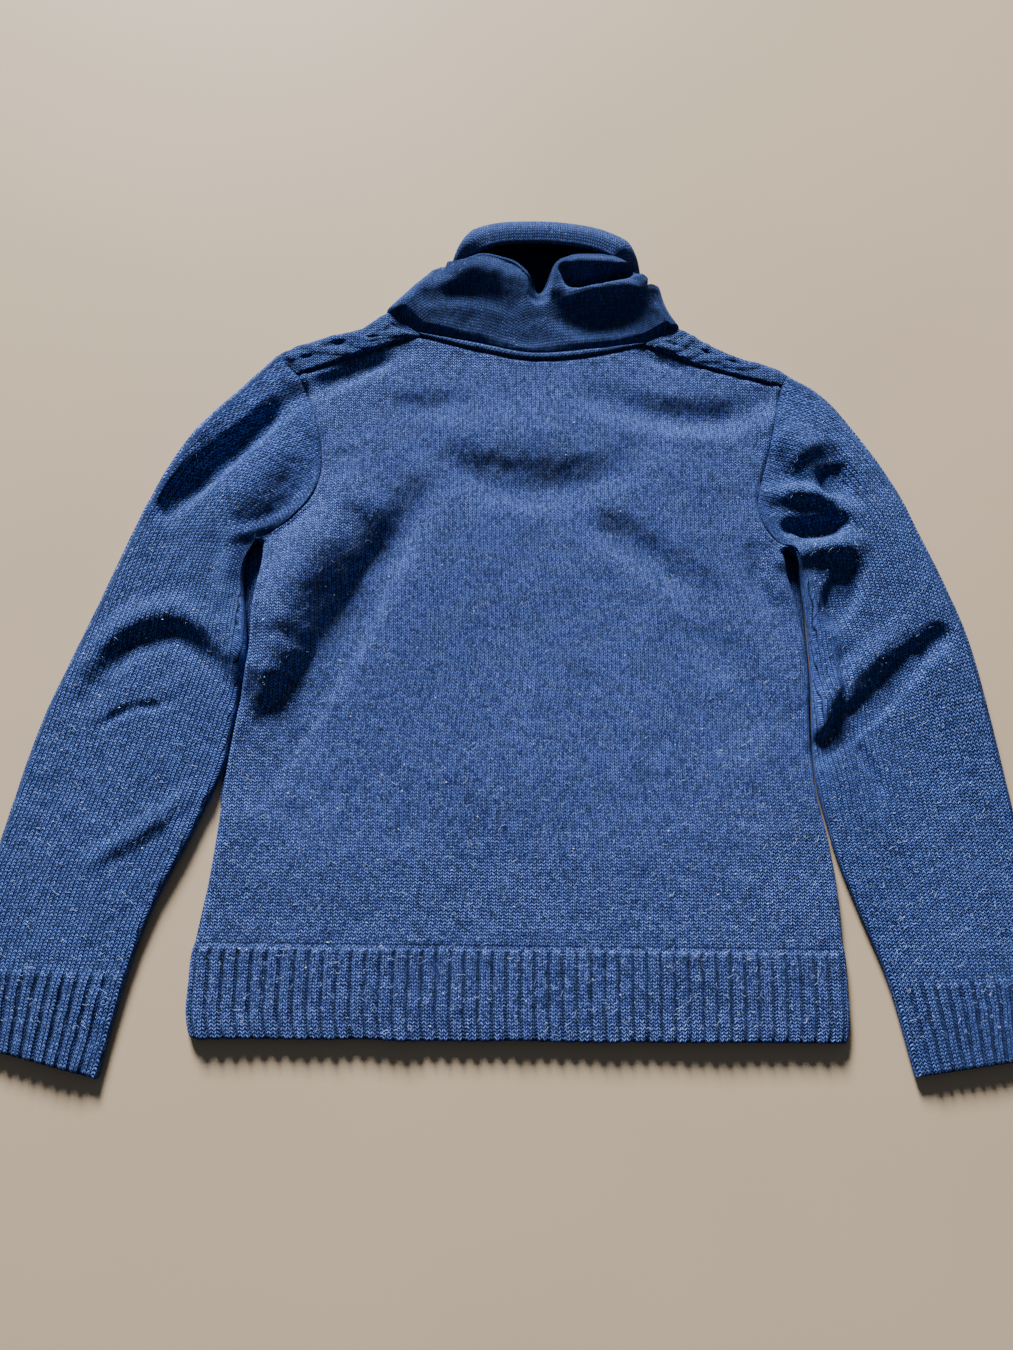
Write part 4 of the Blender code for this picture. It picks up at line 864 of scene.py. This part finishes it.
def strands(plan):
    """Rise of the cable over the shoulder: a thick band with round cords in it and creases between them."""
    rise = np.full(len(plan), CABLE_BAND * CABLE_RISE)
    for path in CABLE_STRANDS:
        gone = away_from(*plan.T, fold_line(tuple(path)))[0] / CABLE_HALF
        rise = np.maximum(rise, CABLE_RISE * np.sqrt(np.clip(1 - gone ** 2, 0, 1)))
    for spot, size in CABLE_HOLLOWS:
        gone = np.hypot(*((plan - spot[:2]) @ [[math.cos(spot[2]), -math.sin(spot[2])],
                                              [math.sin(spot[2]), math.cos(spot[2])]] / size).T)
        rise -= CABLE_DIP * CABLE_RISE * bell(gone, 1)
    return rise


def crease_shade(rise):
    """How much shade is painted on a strip where its strands dip, from 0 to 1."""
    return CREASE_SHADE * ease(0.75 - rise / CABLE_RISE)


def floor_row(left, right, keys, under_height=0.0):
    """A row of the front on the floor: outer points underneath, inner points on top."""
    span = right - left
    edge_share = UNDER_STEP / np.linalg.norm(span)
    fractions = np.clip(keys, edge_share, 1 - edge_share)
    fractions[0], fractions[-1] = 0, 1
    plan = left + np.outer(fractions, span)
    under = np.full(len(keys), under_height)
    under[0] = under[-1] = UNDER_EDGE
    return raised(plan, under), raised(plan, CLOTH)


def plain_stitches(points, shade=0.0):
    """Stitch coordinates straight up and across the garment."""
    return stitch_row(points[:, 0] / STITCH, points[:, 1] / COURSE, shade)


def front():
    """The front: rows on the floor from the hem to the neckline, and a lobe over each shoulder."""
    wall = Wall()
    holes = {side: coarse_armhole(side) for side in OUTWARD}
    for side, hole in holes.items():
        hole[-1] -= [OUTWARD[side] * POCKET_CLEAR, 0]
    neck = front_neck(FRONT_NECK_COLUMNS)
    lobe_keys = shares(LOBE_COLUMNS)
    neck_bottom = neck[LOBE_ROWS:FRONT_NECK_COLUMNS - LOBE_ROWS + 1]
    neck_keys = 1 + np.arange(len(neck_bottom))
    full_keys = np.concatenate([lobe_keys, neck_keys[1:], len(neck_bottom) + lobe_keys[1:]])
    share = full_keys / full_keys[-1]
    share[1], share[-2] = FRONT_TURN, 1 - FRONT_TURN
    outer, inner = [], []

    def add(under, over):
        outer.append(wall.row(full_keys, under, plain_stitches(under)))
        inner.append(wall.row(full_keys, over, plain_stitches(over)))

    for up in FRONT_ROWS:
        left, right = (np.array([front_edge(side, up), up]) for side in OUTWARD)
        add(*floor_row(left, right, share, UNDER_EDGE if up == 0 else 0.0))
    count = len(holes["left"])
    fade = lobe_keys[:-1]
    for n in range(count - 1, LOBE_ROWS, -1):
        under, over = floor_row(holes["left"][n], holes["right"][n], share)
        bow = ease((count - n) / (count - LOBE_ROWS)) * NECK_BOW
        bend = np.interp(full_keys, neck_keys, neck_bottom[:, 1] - over[LOBE_COLUMNS:-LOBE_COLUMNS, 1])
        bend[:LOBE_COLUMNS] *= fade
        bend[-LOBE_COLUMNS:] *= fade[::-1]
        under[:, 1] += bow * bend
        over[:, 1] += bow * bend
        add(under, over)
    left_under, left_over = floor_row(holes["left"][LOBE_ROWS], neck_bottom[0], lobe_keys)
    right_under, right_over = floor_row(neck_bottom[-1], holes["right"][LOBE_ROWS], lobe_keys)
    add(np.vstack([left_under[:-1], raised(neck_bottom, 0.0), right_under[1:]]),
        np.vstack([left_over[:-1], raised(neck_bottom, CLOTH), right_over[1:]]))
    wall.strips(outer)
    wall.strips(inner)
    wall.faces += strip(outer[0], inner[0])
    wall.side(outer, inner, 0)
    wall.side(outer, inner, -1)
    middle = slice(LOBE_COLUMNS, LOBE_COLUMNS + len(neck_bottom))
    wall.faces += strip(outer[-1][middle], inner[-1][middle])
    for side in OUTWARD:
        lobe(wall, side, outer[-1], inner[-1], neck)
    return wall


def lobe(wall, side, outer_branch, inner_branch, neck):
    """One shoulder of the front: on the floor, round the fold and over to the back's seam."""
    left = side == "left"
    hole = coarse_armhole(side)
    hole_centre, hole_out, hole_radius = armhole_fold(side)
    neck_centre, neck_out, neck_radius = neck_fold(side)
    neck_points = neck if left else neck[::-1]
    corner = np.array(NECK_LOWER[0] if left else NECK_LOWER[-1], float)
    keys = shares(LOBE_COLUMNS)
    outer, inner = [], []
    for rows, branch in ((outer, outer_branch), (inner, inner_branch)):
        near = branch[:LOBE_COLUMNS + 1] if left else branch[-LOBE_COLUMNS - 1:][::-1]
        rows.append([(key, number) for key, (_, number) in zip(keys, near)])

    def add(outer_keys, outer_points, inner_keys, inner_points, shade=0.0):
        outer.append(wall.row(outer_keys, outer_points, plain_stitches(outer_points, shade)))
        inner.append(wall.row(inner_keys, inner_points, plain_stitches(inner_points)))

    for n in range(LOBE_ROWS - 1, 0, -1):
        under, over = floor_row(hole[n], neck_points[n], keys)
        under[-1][2] = 0.0
        add(keys, under, keys, over)

    fold_keys = shares(SHOULDER_FOLD_PARTS)
    shoulder = curve(SHOULDER_FOLD[side], fold_keys)
    coarse = shares(STRIP_INNER)
    fine = shares(STRIP_COLUMNS)
    taper = ease(np.minimum(fine, 1 - fine) / CABLE_ENDS)

    def section(fractions):
        """Plan centres, outward directions and radii of the fold at fractions from armhole to neck."""
        edge = between(fold_keys, shoulder, fractions)
        blend = fractions[:, None]
        outward = hole_out + (neck_out - hole_out) * blend
        square = sideways(edge) * -OUTWARD[side]
        outward = outward + (square - outward) * (4 * blend * (1 - blend)) ** 0.5
        outward /= np.hypot(*outward.T)[:, None]
        radius = garment_top(*edge.T) / 2
        radius = garment_top(*(edge - outward * radius[:, None]).T) / 2
        centre = edge - outward * radius[:, None]
        centre[0], radius[0] = hole_centre, hole_radius
        centre[-1], radius[-1] = neck_centre, neck_radius
        return centre, outward, radius

    def turned(sections, angle, depth, rise=0.0):
        """Points round the fold at an angle, on the wall's outside or some way into it."""
        centre, outward, radius = sections
        size = np.maximum(radius - depth, FOLD_CORE) + rise
        return raised(centre + outward * (size * math.cos(angle))[:, None], radius + size * math.sin(angle))

    coarse_sections = section(coarse)
    fine_sections = section(fine)
    for angle in np.radians([-90, -60, -30]):
        add(coarse, turned(coarse_sections, angle, 0.0), coarse, turned(coarse_sections, angle, CLOTH))
    for angle in np.linspace(0, math.pi / 2, STRIP_TURN):
        lean = 0.4 + 0.6 * math.sin(angle)
        rise = strands(turned(fine_sections, angle, 0.0)[:, :2]) * taper
        # painted shade in the creases between the strands
        shade = crease_shade(rise) * taper * lean
        outside = turned(fine_sections, angle, 0.0, rise * lean)
        add(fine, outside, coarse, turned(coarse_sections, angle, CLOTH), shade)

    def strip_row(fractions, start, part):
        """Plan points part of the way from the fold to the shoulder seam."""
        end = curve(SHOULDER_SEAM[side], fractions if left else 1 - fractions) + [0, SEAM]
        end[-1] = corner + [0, SEAM]
        reach = part * CAP_PARTS
        hole_point = hole_centre + (hole[1] - hole_centre) * reach if reach <= 1 else (
            hole[1] + (end[0] - hole[1]) * (reach - 1))
        plan = start + (end - start) * part
        return plan + np.outer(ease(1 - fractions / SEAM_PULL), hole_point - plan[0])

    for part in np.arange(1, STRIP_ROWS + 1) / STRIP_ROWS:
        plan = strip_row(fine, fine_sections[0], part)
        inner_plan = strip_row(coarse, coarse_sections[0], part)
        rise = strands(plan) * taper
        # painted shade in the creases and along the shoulder seam
        shade = np.maximum(crease_shade(rise) * taper, STRIP_SEAM_SHADE * ease(part * 9 - 8))
        rise *= ease((1 - part) * 8)
        top = garment_top(*plan.T) + rise - STRIP_SEAM_DEPTH * ease(part * 12 - 11)
        under = underneath(inner_plan, garment_top(*inner_plan.T), garment_top)
        add(fine, raised(plan, top), coarse, raised(inner_plan, under), shade)
    wall.strips(outer)
    wall.strips(inner)
    wall.side(outer, inner, 0)
    wall.side(outer, inner, -1)
    wall.faces += strip(outer[-1], inner[-1])


# ---------------------------------------------------------------- the neckband and the collar
def neckband():
    """The neckband: a narrow raised strip between the back and the collar."""
    fractions = shares(NECK_COLUMNS)
    lower = curve(NECK_LOWER, fractions) + [0, SEAM]
    upper = curve(NECK_UPPER, fractions) - [0, SEAM]
    for line in (lower, upper):
        line[0] += [BAND_CLEAR, 0]
        line[-1] -= [BAND_CLEAR, 0]
    outer, inner, stitches = [], [], []
    for across in shares(BAND_ROWS):
        plan = lower + (upper - lower) * across
        level = garment_top(*plan.T)
        rise = smooth(listed(BAND_PROFILE, "across"), listed(BAND_PROFILE, "rise"), across)
        outer.append(raised(plan, level + rise))
        inner.append(raised(plan, level + min(rise, 0) - CLOTH))
        # painted shade along the band's two seams
        shade = BAND_SHADE * (1 - ease(min(across, 1 - across) / BAND_SHADE_WIDTH))
        stitches.append(stitch_row(distances(plan) / STITCH, across * BAND_COURSES, shade))
    return grid_wall(outer, inner, stitches, thin=5)


def collar_corner(side, place, share, draw):
    """The round of the collar's side edge at one row: its centre, outward direction and radius."""
    low, high = curve(COLLAR_SIDE[side], [0.74, 1.0])
    edge = curve(COLLAR_SIDE[side], [share])[0] - unit(high - low) * draw
    centre, outward, radius = edge_centre(edge, edge - [OUTWARD[side], 0.3], collar_top)
    low_radius = radius * (1 - CORNER_TAPER * ease((place - 5) / 4))
    return centre + outward * (radius - low_radius), outward, low_radius


def wall_directions(grid):
    """Directions square to a closed grid at its points, evened out round each of its rings."""
    around = np.roll(grid, -1, axis=1) - np.roll(grid, 1, axis=1)
    normal = np.cross(np.gradient(grid, axis=0), around)
    for _ in range(NORMAL_PASSES):
        normal = (np.roll(normal, 1, axis=1) + normal + np.roll(normal, -1, axis=1)) / 3
    return normal / np.maximum(np.linalg.norm(normal, axis=2), 1e-9)[:, :, None]


def collar():
    """The collar: rings from its seam up to its rim, over the top and back along its lower side."""
    upper = curve(NECK_UPPER, shares(NECK_COLUMNS))
    folds = {side: neck_fold(side) for side in OUTWARD}
    corner_run = np.linspace(0, 1, COLLAR_SEAM_ENDS, endpoint=False)[:, None]
    seam_top = np.vstack([folds["left"][0] + corner_run * (upper[0] - folds["left"][0]), upper,
                          folds["right"][0] + corner_run[::-1] * (upper[-1] - folds["right"][0])])
    seam_under = front_neck(COLLAR_UNDER)[::-1]
    top_count, under_count = len(seam_top), len(seam_under)
    across = (seam_top[:, 0] - seam_top[0, 0]) / (seam_top[-1, 0] - seam_top[0, 0])
    rim_path = np.array(BACK_RIM, float)
    rim_share = (rim_path[:, 0] - rim_path[0, 0]) / (rim_path[-1, 0] - rim_path[0, 0])
    rim_top = np.column_stack([np.interp(across, rim_share, rim_path[:, 0]),
                               smooth(rim_share, rim_path[:, 1], across)])
    rim_under = curve(FRONT_RIM, np.linspace(1, 0, under_count))
    rim_in = -sideways(rim_under[::-1])[::-1]
    arch = ease(np.sin(np.pi * shares(under_count - 1)) * ARCH_STEEP)
    sag = ease(np.sin(np.pi * shares(top_count - 1)) * SAG_STEEP)
    rows = {name: listed(COLLAR_ROWS, name) for name in CollarRow._fields}
    keys = rows["place"]
    pocket = next(fold for fold in COLLAR_FOLDS if fold.name == "roll pocket")
    grid, stitches, inner_stitches, corners_inside = [], [], [], []
    for place in COLLAR_PLACES:
        share = min(float(np.interp(place, keys, rows["share"])), 1.0)
        inward, lift, tuck, sink, draw = (float(smooth(keys, rows[name], place))
                                          for name in ("inward", "lift", "tuck", "sink", "draw"))
        top_plan = seam_top + (rim_top - seam_top) * share
        under_plan = seam_under + (rim_under - seam_under) * share
        corners = folds
        if place:
            corners = {side: collar_corner(side, place, share, draw) for side in OUTWARD}
        for plan, near, far in ((top_plan, "left", "right"), (under_plan, "right", "left")):
            run = np.linspace(0, 1, len(plan))[:, None]
            near_pull = corners[near][0] - plan[0]
            far_pull = corners[far][0] - plan[-1]
            plan += np.clip(1 - run / CORNER_SHARE, 0, 1) * near_pull
            plan += np.clip(1 - (1 - run) / CORNER_SHARE, 0, 1) * far_pull
        blend = ease(place / 0.6)
        crest = collar_top(*top_plan.T) * blend + garment_top(*top_plan.T) * (1 - blend)
        seam_fall = seam_rise(place * PLACE_LENGTH) * ease(sag * 3)
        crest = np.maximum(crest - max(sink, 0) * sag + seam_fall, LOWEST)
        crest[0], crest[-1] = 2 * corners["left"][2], 2 * corners["right"][2]
        away = np.array([0, 0 if place else SEAM])
        top_plan += away
        top_plan[:, 1] -= max(tuck, 0) * sag
        under_plan += away + rim_in * (inward * arch)[:, None]
        right, left = ([turn(corners[side][0] + away, *corners[side][1:], COLLAR_TURN, depth)
                        for depth in (0, CLOTH)] for side in ("right", "left"))
        bottom = raised(under_plan, max(lift, 0) * arch)
        ring = np.vstack([raised(top_plan, crest), right[0], bottom, left[0][::-1]])
        corners_inside.append((right[1], left[1][::-1]))
        if place == 0:
            seam_inside = np.vstack([raised(top_plan, crest - CLOTH), right[1], raised(under_plan, CLOTH),
                                     left[1][::-1]])
        grid.append(ring)
        around = distances(ring[:, :2])
        wales = ring[:, 0] / FINE_STITCH + (around > around[top_count]) * UNDER_WALES
        # painted shade in the seam's groove, in the roll's pocket and on the collar's inside
        shade = np.full(len(ring), seam_shade(place * PLACE_LENGTH))
        in_pocket = swell(*top_plan.T, pocket.path, pocket.half)
        shade[:top_count] = np.maximum(shade[:top_count], POCKET_SHADE * in_pocket ** 1.5)
        courses = place * PLACE_ON_MAP / FINE_COURSE
        stitches.append(stitch_row(wales, courses, shade))
        inner_stitches.append(stitch_row(wales, courses, INSIDE_SHADE * ease((9.4 - place) / 1.2)))
    grid = np.array(grid)
    inner = grid + wall_directions(grid) * CLOTH
    inner[:, :top_count, 2] = np.maximum(inner[:, :top_count, 2], CLOTH + CLEAR)
    inner[:, top_count:, 2] = np.maximum(inner[:, top_count:, 2], CLOTH)
    turned = len(COLLAR_TURN)
    inner[:, top_count:top_count + turned] = [right for right, _ in corners_inside]
    inner[:, -turned:] = [left for _, left in corners_inside]
    inner[0] = seam_inside
    return grid_wall(grid, inner, stitches, closed=True, thin=3, inner_stitches=inner_stitches)


# ---------------------------------------------------------------- stray wool
def inside_outline(x, y):
    """Whether plan points lie well inside the body or a sleeve."""
    found = np.zeros(len(x), bool)
    for side, out in OUTWARD.items():
        rows = SLEEVES[side][::-1]
        outer_x = np.interp(y, listed(rows, "outer_y"), listed(rows, "outer_x"))
        inner_x = np.interp(y, listed(rows, "inner_y"), listed(rows, "inner_x"))
        inner_x = np.where(y > BESIDE_BODY[1], 0, inner_x)
        found |= (out * (outer_x - x) > STRAY_MARGIN) & (out * (x - inner_x) > STRAY_MARGIN - 2)
    in_body = (x > body_edge("left", y) + STRAY_MARGIN) & (x < body_edge("right", y) - STRAY_MARGIN)
    return (y > 5) & (found | (in_body & (y < BESIDE_BODY[1])))


def spots(random, count):
    """Random plan points on the garment."""
    x, y = random.uniform(*STRAY_ACROSS, count * 3), random.uniform(*STRAY_UP, count * 3)
    kept = np.flatnonzero(inside_outline(x, y))[:count]
    return x[kept], y[kept]


def fibres(count, seed):
    """Stray fibres that stand just off the knit: thin, bent, three-sided threads in one mesh."""
    random = np.random.default_rng(seed)
    x, y = spots(random, count)
    count = len(x)
    length = random.uniform(*FIBRE_LENGTH, count)
    heading = random.uniform(0, 2 * np.pi, count)
    bend = random.normal(0, FIBRE_BEND, count)
    thick = random.uniform(*FIBRE_RADIUS, count)
    lifted = random.uniform(*FIBRE_LIFT, count)
    steps = np.linspace(-0.5, 0.5, FIBRE_STEPS)
    turned = heading[:, None] + bend[:, None] * steps
    px = x[:, None] + length[:, None] * np.cos(turned) * steps
    py = y[:, None] + length[:, None] * np.sin(turned) * steps
    rib = RIB_RISE * ease((RIB_TOP + 2 - py) / 4)
    pz = garment_top(px.ravel(), py.ravel()).reshape(px.shape) + rib + lifted[:, None] * (1 - 3 * steps ** 2)
    spine = np.stack([px, py, pz], axis=-1)
    side = np.stack([-np.sin(turned), np.cos(turned), np.zeros_like(turned)], axis=-1)
    rings = []
    for angle in np.radians([90, 210, 330]):
        rings.append(spine + thick[:, None, None] * (math.cos(angle) * side + [0, 0, math.sin(angle)]))
    points = np.stack(rings, axis=2)
    start = (np.arange(count) * FIBRE_STEPS * 3)[:, None]
    faces = []
    for step in range(FIBRE_STEPS - 1):
        for corner in range(3):
            a, b = step * 3 + corner, step * 3 + (corner + 1) % 3
            faces += (start + [a, b, b + 3, a + 3]).tolist()
    faces += (start + [2, 1, 0]).tolist() + (start + np.array([0, 1, 2]) + (FIBRE_STEPS - 1) * 3).tolist()
    return points.reshape(-1, 3), faces


def specks(count, seed):
    """Small flecks of lint that lie on the knit: eight-sided crumbs in one mesh."""
    random = np.random.default_rng(seed)
    x, y = spots(random, count)
    centre = np.column_stack([x, y, garment_top(x, y) + RIB_RISE * (y < RIB_TOP) + SPECK_LIFT])
    corners = np.array([(1, 0, 0), (0, 1, 0), (-1, 0, 0), (0, -1, 0), (0, 0, 1), (0, 0, -1)], float)
    sizes = random.uniform(*SPECK_SIZE, (len(centre), 1, 3)) * [1.3, 1.0, 0.6]
    points = centre[:, None] + corners * sizes
    start = (np.arange(len(centre)) * 6)[:, None]
    faces = []
    for n in range(4):
        faces += (start + [n, (n + 1) % 4, 4]).tolist() + (start + [(n + 1) % 4, n, 5]).tolist()
    return points.reshape(-1, 3), faces


# ---------------------------------------------------------------- finishes
class Nodes:
    """A material's nodes, made and joined by short calls."""

    def __init__(self, name):
        self.material = bpy.data.materials.new(name)
        self.material.use_nodes = True
        self.tree = self.material.node_tree
        self.shader = self.tree.nodes["Principled BSDF"]

    def join(self, value, socket):
        if isinstance(value, bpy.types.NodeSocket):
            self.tree.links.new(value, socket)
        else:
            socket.default_value = value

    def add(self, kind, output=0, settings=(), **inputs):
        node = self.tree.nodes.new(kind)
        for name, value in dict(settings).items():
            setattr(node, name, value)
        for name, value in inputs.items():
            self.join(value, node.inputs[name.replace("_", " ")])
        return node.outputs[output]

    def math(self, operation, *values):
        node = self.tree.nodes.new("ShaderNodeMath")
        node.operation = operation
        for value, socket in zip(values, node.inputs):
            self.join(value, socket)
        return node.outputs[0]

    def noise(self, vector, scale, detail=2.0, rough=0.5):
        return self.add("ShaderNodeTexNoise", 0, Vector=vector, Scale=scale, Detail=detail, Roughness=rough)

    def combine(self, x, y):
        return self.add("ShaderNodeCombineXYZ", 0, X=x, Y=y)

    def range(self, value, low, high, to_low=0.0, to_high=1.0):
        node = self.tree.nodes.new("ShaderNodeMapRange")
        for socket, number in zip(node.inputs, (value, low, high, to_low, to_high)):
            self.join(number, socket)
        return node.outputs[0]

    def mix(self, share, a, b):
        node = self.tree.nodes.new("ShaderNodeMix")
        node.data_type = "RGBA"
        self.join(share, node.inputs[0])
        self.join(a, node.inputs[6])
        self.join(b, node.inputs[7])
        return node.outputs[2]

    def surface(self, **inputs):
        """Set or join inputs of the material's shader."""
        for name, value in inputs.items():
            self.join(value, self.shader.inputs[name.replace("_", " ")])


NAVY = (0.008, 0.020, 0.085)
DENIM = (0.185, 0.305, 1.0)
# the body's pale yarn painted darker, as painted shade
SHADED_DENIM = (0.095, 0.180, 0.620)
FLECK = (0.30, 0.46, 0.95, 1)
SHEEN = (0.25, 0.42, 1.0, 1)
GAP_SHADE = 0.16         # painted shade between the stitches: share of the dark yarn's colour left there


def knit_finish(name, dark, light, lean=0.85, relief=0.0016, fuzz=0.28):
    """Wool knit: rows of V stitches on the stitch map with shade painted between them, marled yarn, stray
    fibres, pale flecks, and shade painted in the wall's hollows.
    """
    n = Nodes(name)
    place = n.add("ShaderNodeTexCoord", 3)
    stitches = n.add("ShaderNodeUVMap", settings={"uv_map": "stitches"})
    # painted shade: how dark each point of the wall is drawn for the hollow it lies in
    hollow = n.add("ShaderNodeAttribute", 2, settings={"attribute_name": "hollow"})
    split = n.tree.nodes.new("ShaderNodeSeparateXYZ")
    n.join(stitches, split.inputs[0])
    across = n.math("ADD", split.outputs[0], n.range(n.noise(place, 70.0, 1.0), 0.3, 0.7, -0.14, 0.14))
    up = n.math("ADD", split.outputs[1], n.range(n.noise(place, 200.0, 1.0), 0.3, 0.7, -0.16, 0.16))
    off_middle = n.math("MULTIPLY", n.math("ABSOLUTE", n.math("SUBTRACT", n.math("FRACT", across), 0.5)), 2.0)
    phase = n.math("SUBTRACT", up, n.math("MULTIPLY", off_middle, lean))
    band = n.math("SUBTRACT", n.math("MULTIPLY", n.math("FRACT", phase), 2.0), 1.0)
    strand = n.math("SUBTRACT", 1.0, n.math("POWER", n.math("ABSOLUTE", band), 1.6))
    off_leg = n.math("ABSOLUTE", n.math("SUBTRACT", n.math("MULTIPLY", off_middle, 2.0), 1.0))
    leg = n.math("SUBTRACT", 1.0, n.math("POWER", off_leg, 3.0))
    seam_line = n.range(off_middle, 0.70, 1.0, 1.0, 0.15)
    stitch = n.math("MULTIPLY", strand, n.math("MULTIPLY", seam_line, n.range(leg, 0.0, 1.0, 0.35, 1.0)))
    # each leg of each stitch has its own shade, and the yarn is marled along its fibres
    cell = n.combine(n.math("FLOOR", n.math("MULTIPLY", across, 2.0)), n.math("FLOOR", phase))
    own = n.add("ShaderNodeTexWhiteNoise", 0, Vector=cell)
    along = n.combine(n.math("MULTIPLY", across, 6.0), n.math("MULTIPLY", phase, 3.4))
    fibres = n.range(n.noise(along, 1.0, 2.0, 0.7), 0.3, 0.7)
    tufts = n.range(n.noise(place, 620.0, 2.0, 0.8), 0.32, 0.68)
    cloud = n.range(n.noise(place, 16.0, 4.0, 0.65), 0.3, 0.7)
    shade = 0.0
    for part, weight in ((fibres, 0.22), (own, 0.42), (tufts, 0.30), (cloud, 0.10)):
        shade = n.math("ADD", shade, n.math("MULTIPLY", part, weight))
    yarn = n.mix(n.range(shade, 0.20, 0.78), (*dark, 1), (*light, 1))
    # painted shade: the gaps between the stitches take a darkened copy of the dark yarn, the strands the
    # marled yarn
    gap = (*[c * GAP_SHADE for c in dark], 1)
    lit = n.mix(n.range(stitch, 0.10, 0.62), gap, yarn)
    flecks = n.add("ShaderNodeTexVoronoi", 0, Vector=place, Scale=300.0)
    fleck = n.math("MULTIPLY", n.range(flecks, 0.12, 0.22, 1.0, 0.0),
                   n.range(n.noise(place, 45.0, 2.0), 0.50, 0.62))
    lit = n.mix(n.math("MULTIPLY", fleck, 0.6), lit, FLECK)
    relief_map = n.math("ADD", stitch, n.math("MULTIPLY", tufts, 0.25))
    # painted shade in the wall's hollows: the stitches darken towards the gaps' colour
    n.surface(Base_Color=n.mix(n.math("MULTIPLY", hollow, 0.85), lit, gap), Roughness=0.95,
              Specular_IOR_Level=0.10, Sheen_Weight=fuzz, Sheen_Roughness=0.5, Sheen_Tint=SHEEN,
              Normal=n.add("ShaderNodeBump", 0, Height=relief_map, Strength=1.0, Distance=relief))
    return n.material


def plain_finish(name, colour, rough, other=None, size=3.0):
    """A plain surface whose colour drifts a little, or as far as another colour."""
    n = Nodes(name)
    other = other or [c * 0.96 for c in colour]
    share = n.range(n.noise(n.add("ShaderNodeTexCoord", 3), size), 0.35, 0.65)
    n.surface(Base_Color=n.mix(share, (*colour, 1), (*other, 1)), Roughness=rough, Specular_IOR_Level=0.2)
    return n.material


body_wool = knit_finish("body_wool", NAVY, DENIM)
# painted shade: the sleeves, the front, the neckband and the collar take darker copies of the body's pale
# yarn
sleeve_wool_shaded = knit_finish("sleeve_wool_shaded", NAVY, (0.120, 0.225, 0.800))
front_wool_shaded = knit_finish("front_wool_shaded", NAVY, SHADED_DENIM)
band_wool_shaded = knit_finish("band_wool_shaded", NAVY, SHADED_DENIM)
collar_wool_shaded = knit_finish("collar_wool_shaded", NAVY, (0.075, 0.145, 0.520), relief=0.0008)
stray_wool = plain_finish("stray_wool", (0.16, 0.25, 0.62), 0.9, (0.55, 0.66, 0.95), 260)
lint = plain_finish("lint", (0.62, 0.74, 0.95), 0.9)

# ---------------------------------------------------------------- the pieces
Cloth = namedtuple("Cloth", "node make slot finish flat area held rests_on")
CLOTHS = [
    Cloth("front", front, "front_knit", front_wool_shaded, (0.520, 0.640), 0.290, "laid", []),
    Cloth("back", back, "body_knit", body_wool, (0.515, 0.600), 0.285, "laid", ["front_cloth"]),
    Cloth("sleeve_left", lambda: sleeve("left"), "sleeve_knit", sleeve_wool_shaded, (0.360, 0.600), 0.170,
          "laid", []),
    Cloth("sleeve_right", lambda: sleeve("right"), "sleeve_knit", sleeve_wool_shaded, (0.360, 0.600), 0.170,
          "laid", []),
    Cloth("neckband", neckband, "band_knit", band_wool_shaded, (0.215, 0.011), 0.0022, "laid", ["front_cloth"]),
    Cloth("collar", collar, "collar_knit", collar_wool_shaded, (0.520, 0.180), 0.075, "folded", []),
]
for cloth in CLOTHS:
    piece = make_piece(wall_mesh(cloth.node + "_cloth", cloth.make()), cloth.finish)
    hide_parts(cloth.node)
make_piece(make_mesh("stray_fibres", *fibres(FIBRES, 3)), stray_wool)
make_piece(make_mesh("lint_specks", *specks(SPECKS, 8)), lint)


# ---------------------------------------------------------------- floor, light and camera
FLOOR_SIZE = 6.0
FLOOR_PLACE = (0, 0, -0.0002)  # just under the garment


def stage_floor():
    """The plain pale floor that the garment lies on."""
    bpy.ops.object.select_all(action="DESELECT")
    bpy.ops.mesh.primitive_plane_add(size=FLOOR_SIZE, location=FLOOR_PLACE)
    floor = bpy.context.object
    floor.name = "floor"
    floor.data.materials.append(plain_finish("pale_floor", (0.53, 0.42, 0.30), 0.6))


WINDOW_PLACE = Vector((-1.7, 6.8, 2.75))  # metres, behind the collar and a little to the left
WINDOW_SIZE = (2.2, 1.6)
WINDOW_POWER = 2250  # watts
WINDOW_COLOUR = (1.0, 0.97, 0.93)


def window():
    """A window's light, low and from behind the collar, aimed at the garment's middle."""
    lamp = bpy.data.lights.new("window", "AREA")
    lamp.shape = "RECTANGLE"
    lamp.size, lamp.size_y = WINDOW_SIZE
    lamp.energy = WINDOW_POWER
    lamp.color = WINDOW_COLOUR
    rig = bpy.data.objects.new("window", lamp)
    bpy.context.scene.collection.objects.link(rig)
    rig.location = WINDOW_PLACE
    rig.rotation_euler = (-WINDOW_PLACE).to_track_quat("-Z", "Y").to_euler()


def surroundings():
    """A faint blue light from all round."""
    world = bpy.data.worlds.new("room")
    bpy.context.scene.world = world
    world.use_nodes = True
    background = world.node_tree.nodes["Background"]
    background.inputs["Color"].default_value = (0.80, 0.88, 1.0, 1)
    background.inputs["Strength"].default_value = 0.10


CAMERA_PLACE = (-0.02585, -0.24669, 0.82362)
CAMERA_TURN = (13.571, -1.613, 0.668)  # degrees about x, y and z
FOCAL = 27.013  # millimetres, on a frame 36 mm tall


def camera():
    """The photo's camera."""
    lens = bpy.data.cameras.new("camera")
    lens.sensor_fit = "VERTICAL"
    lens.sensor_height = 36.0
    lens.lens = FOCAL
    lens.clip_start = 0.01
    eye = bpy.data.objects.new("camera", lens)
    bpy.context.scene.collection.objects.link(eye)
    eye.location = CAMERA_PLACE
    eye.rotation_euler = np.radians(CAMERA_TURN)
    bpy.context.scene.camera = eye


stage_floor()
window()
surroundings()
camera()
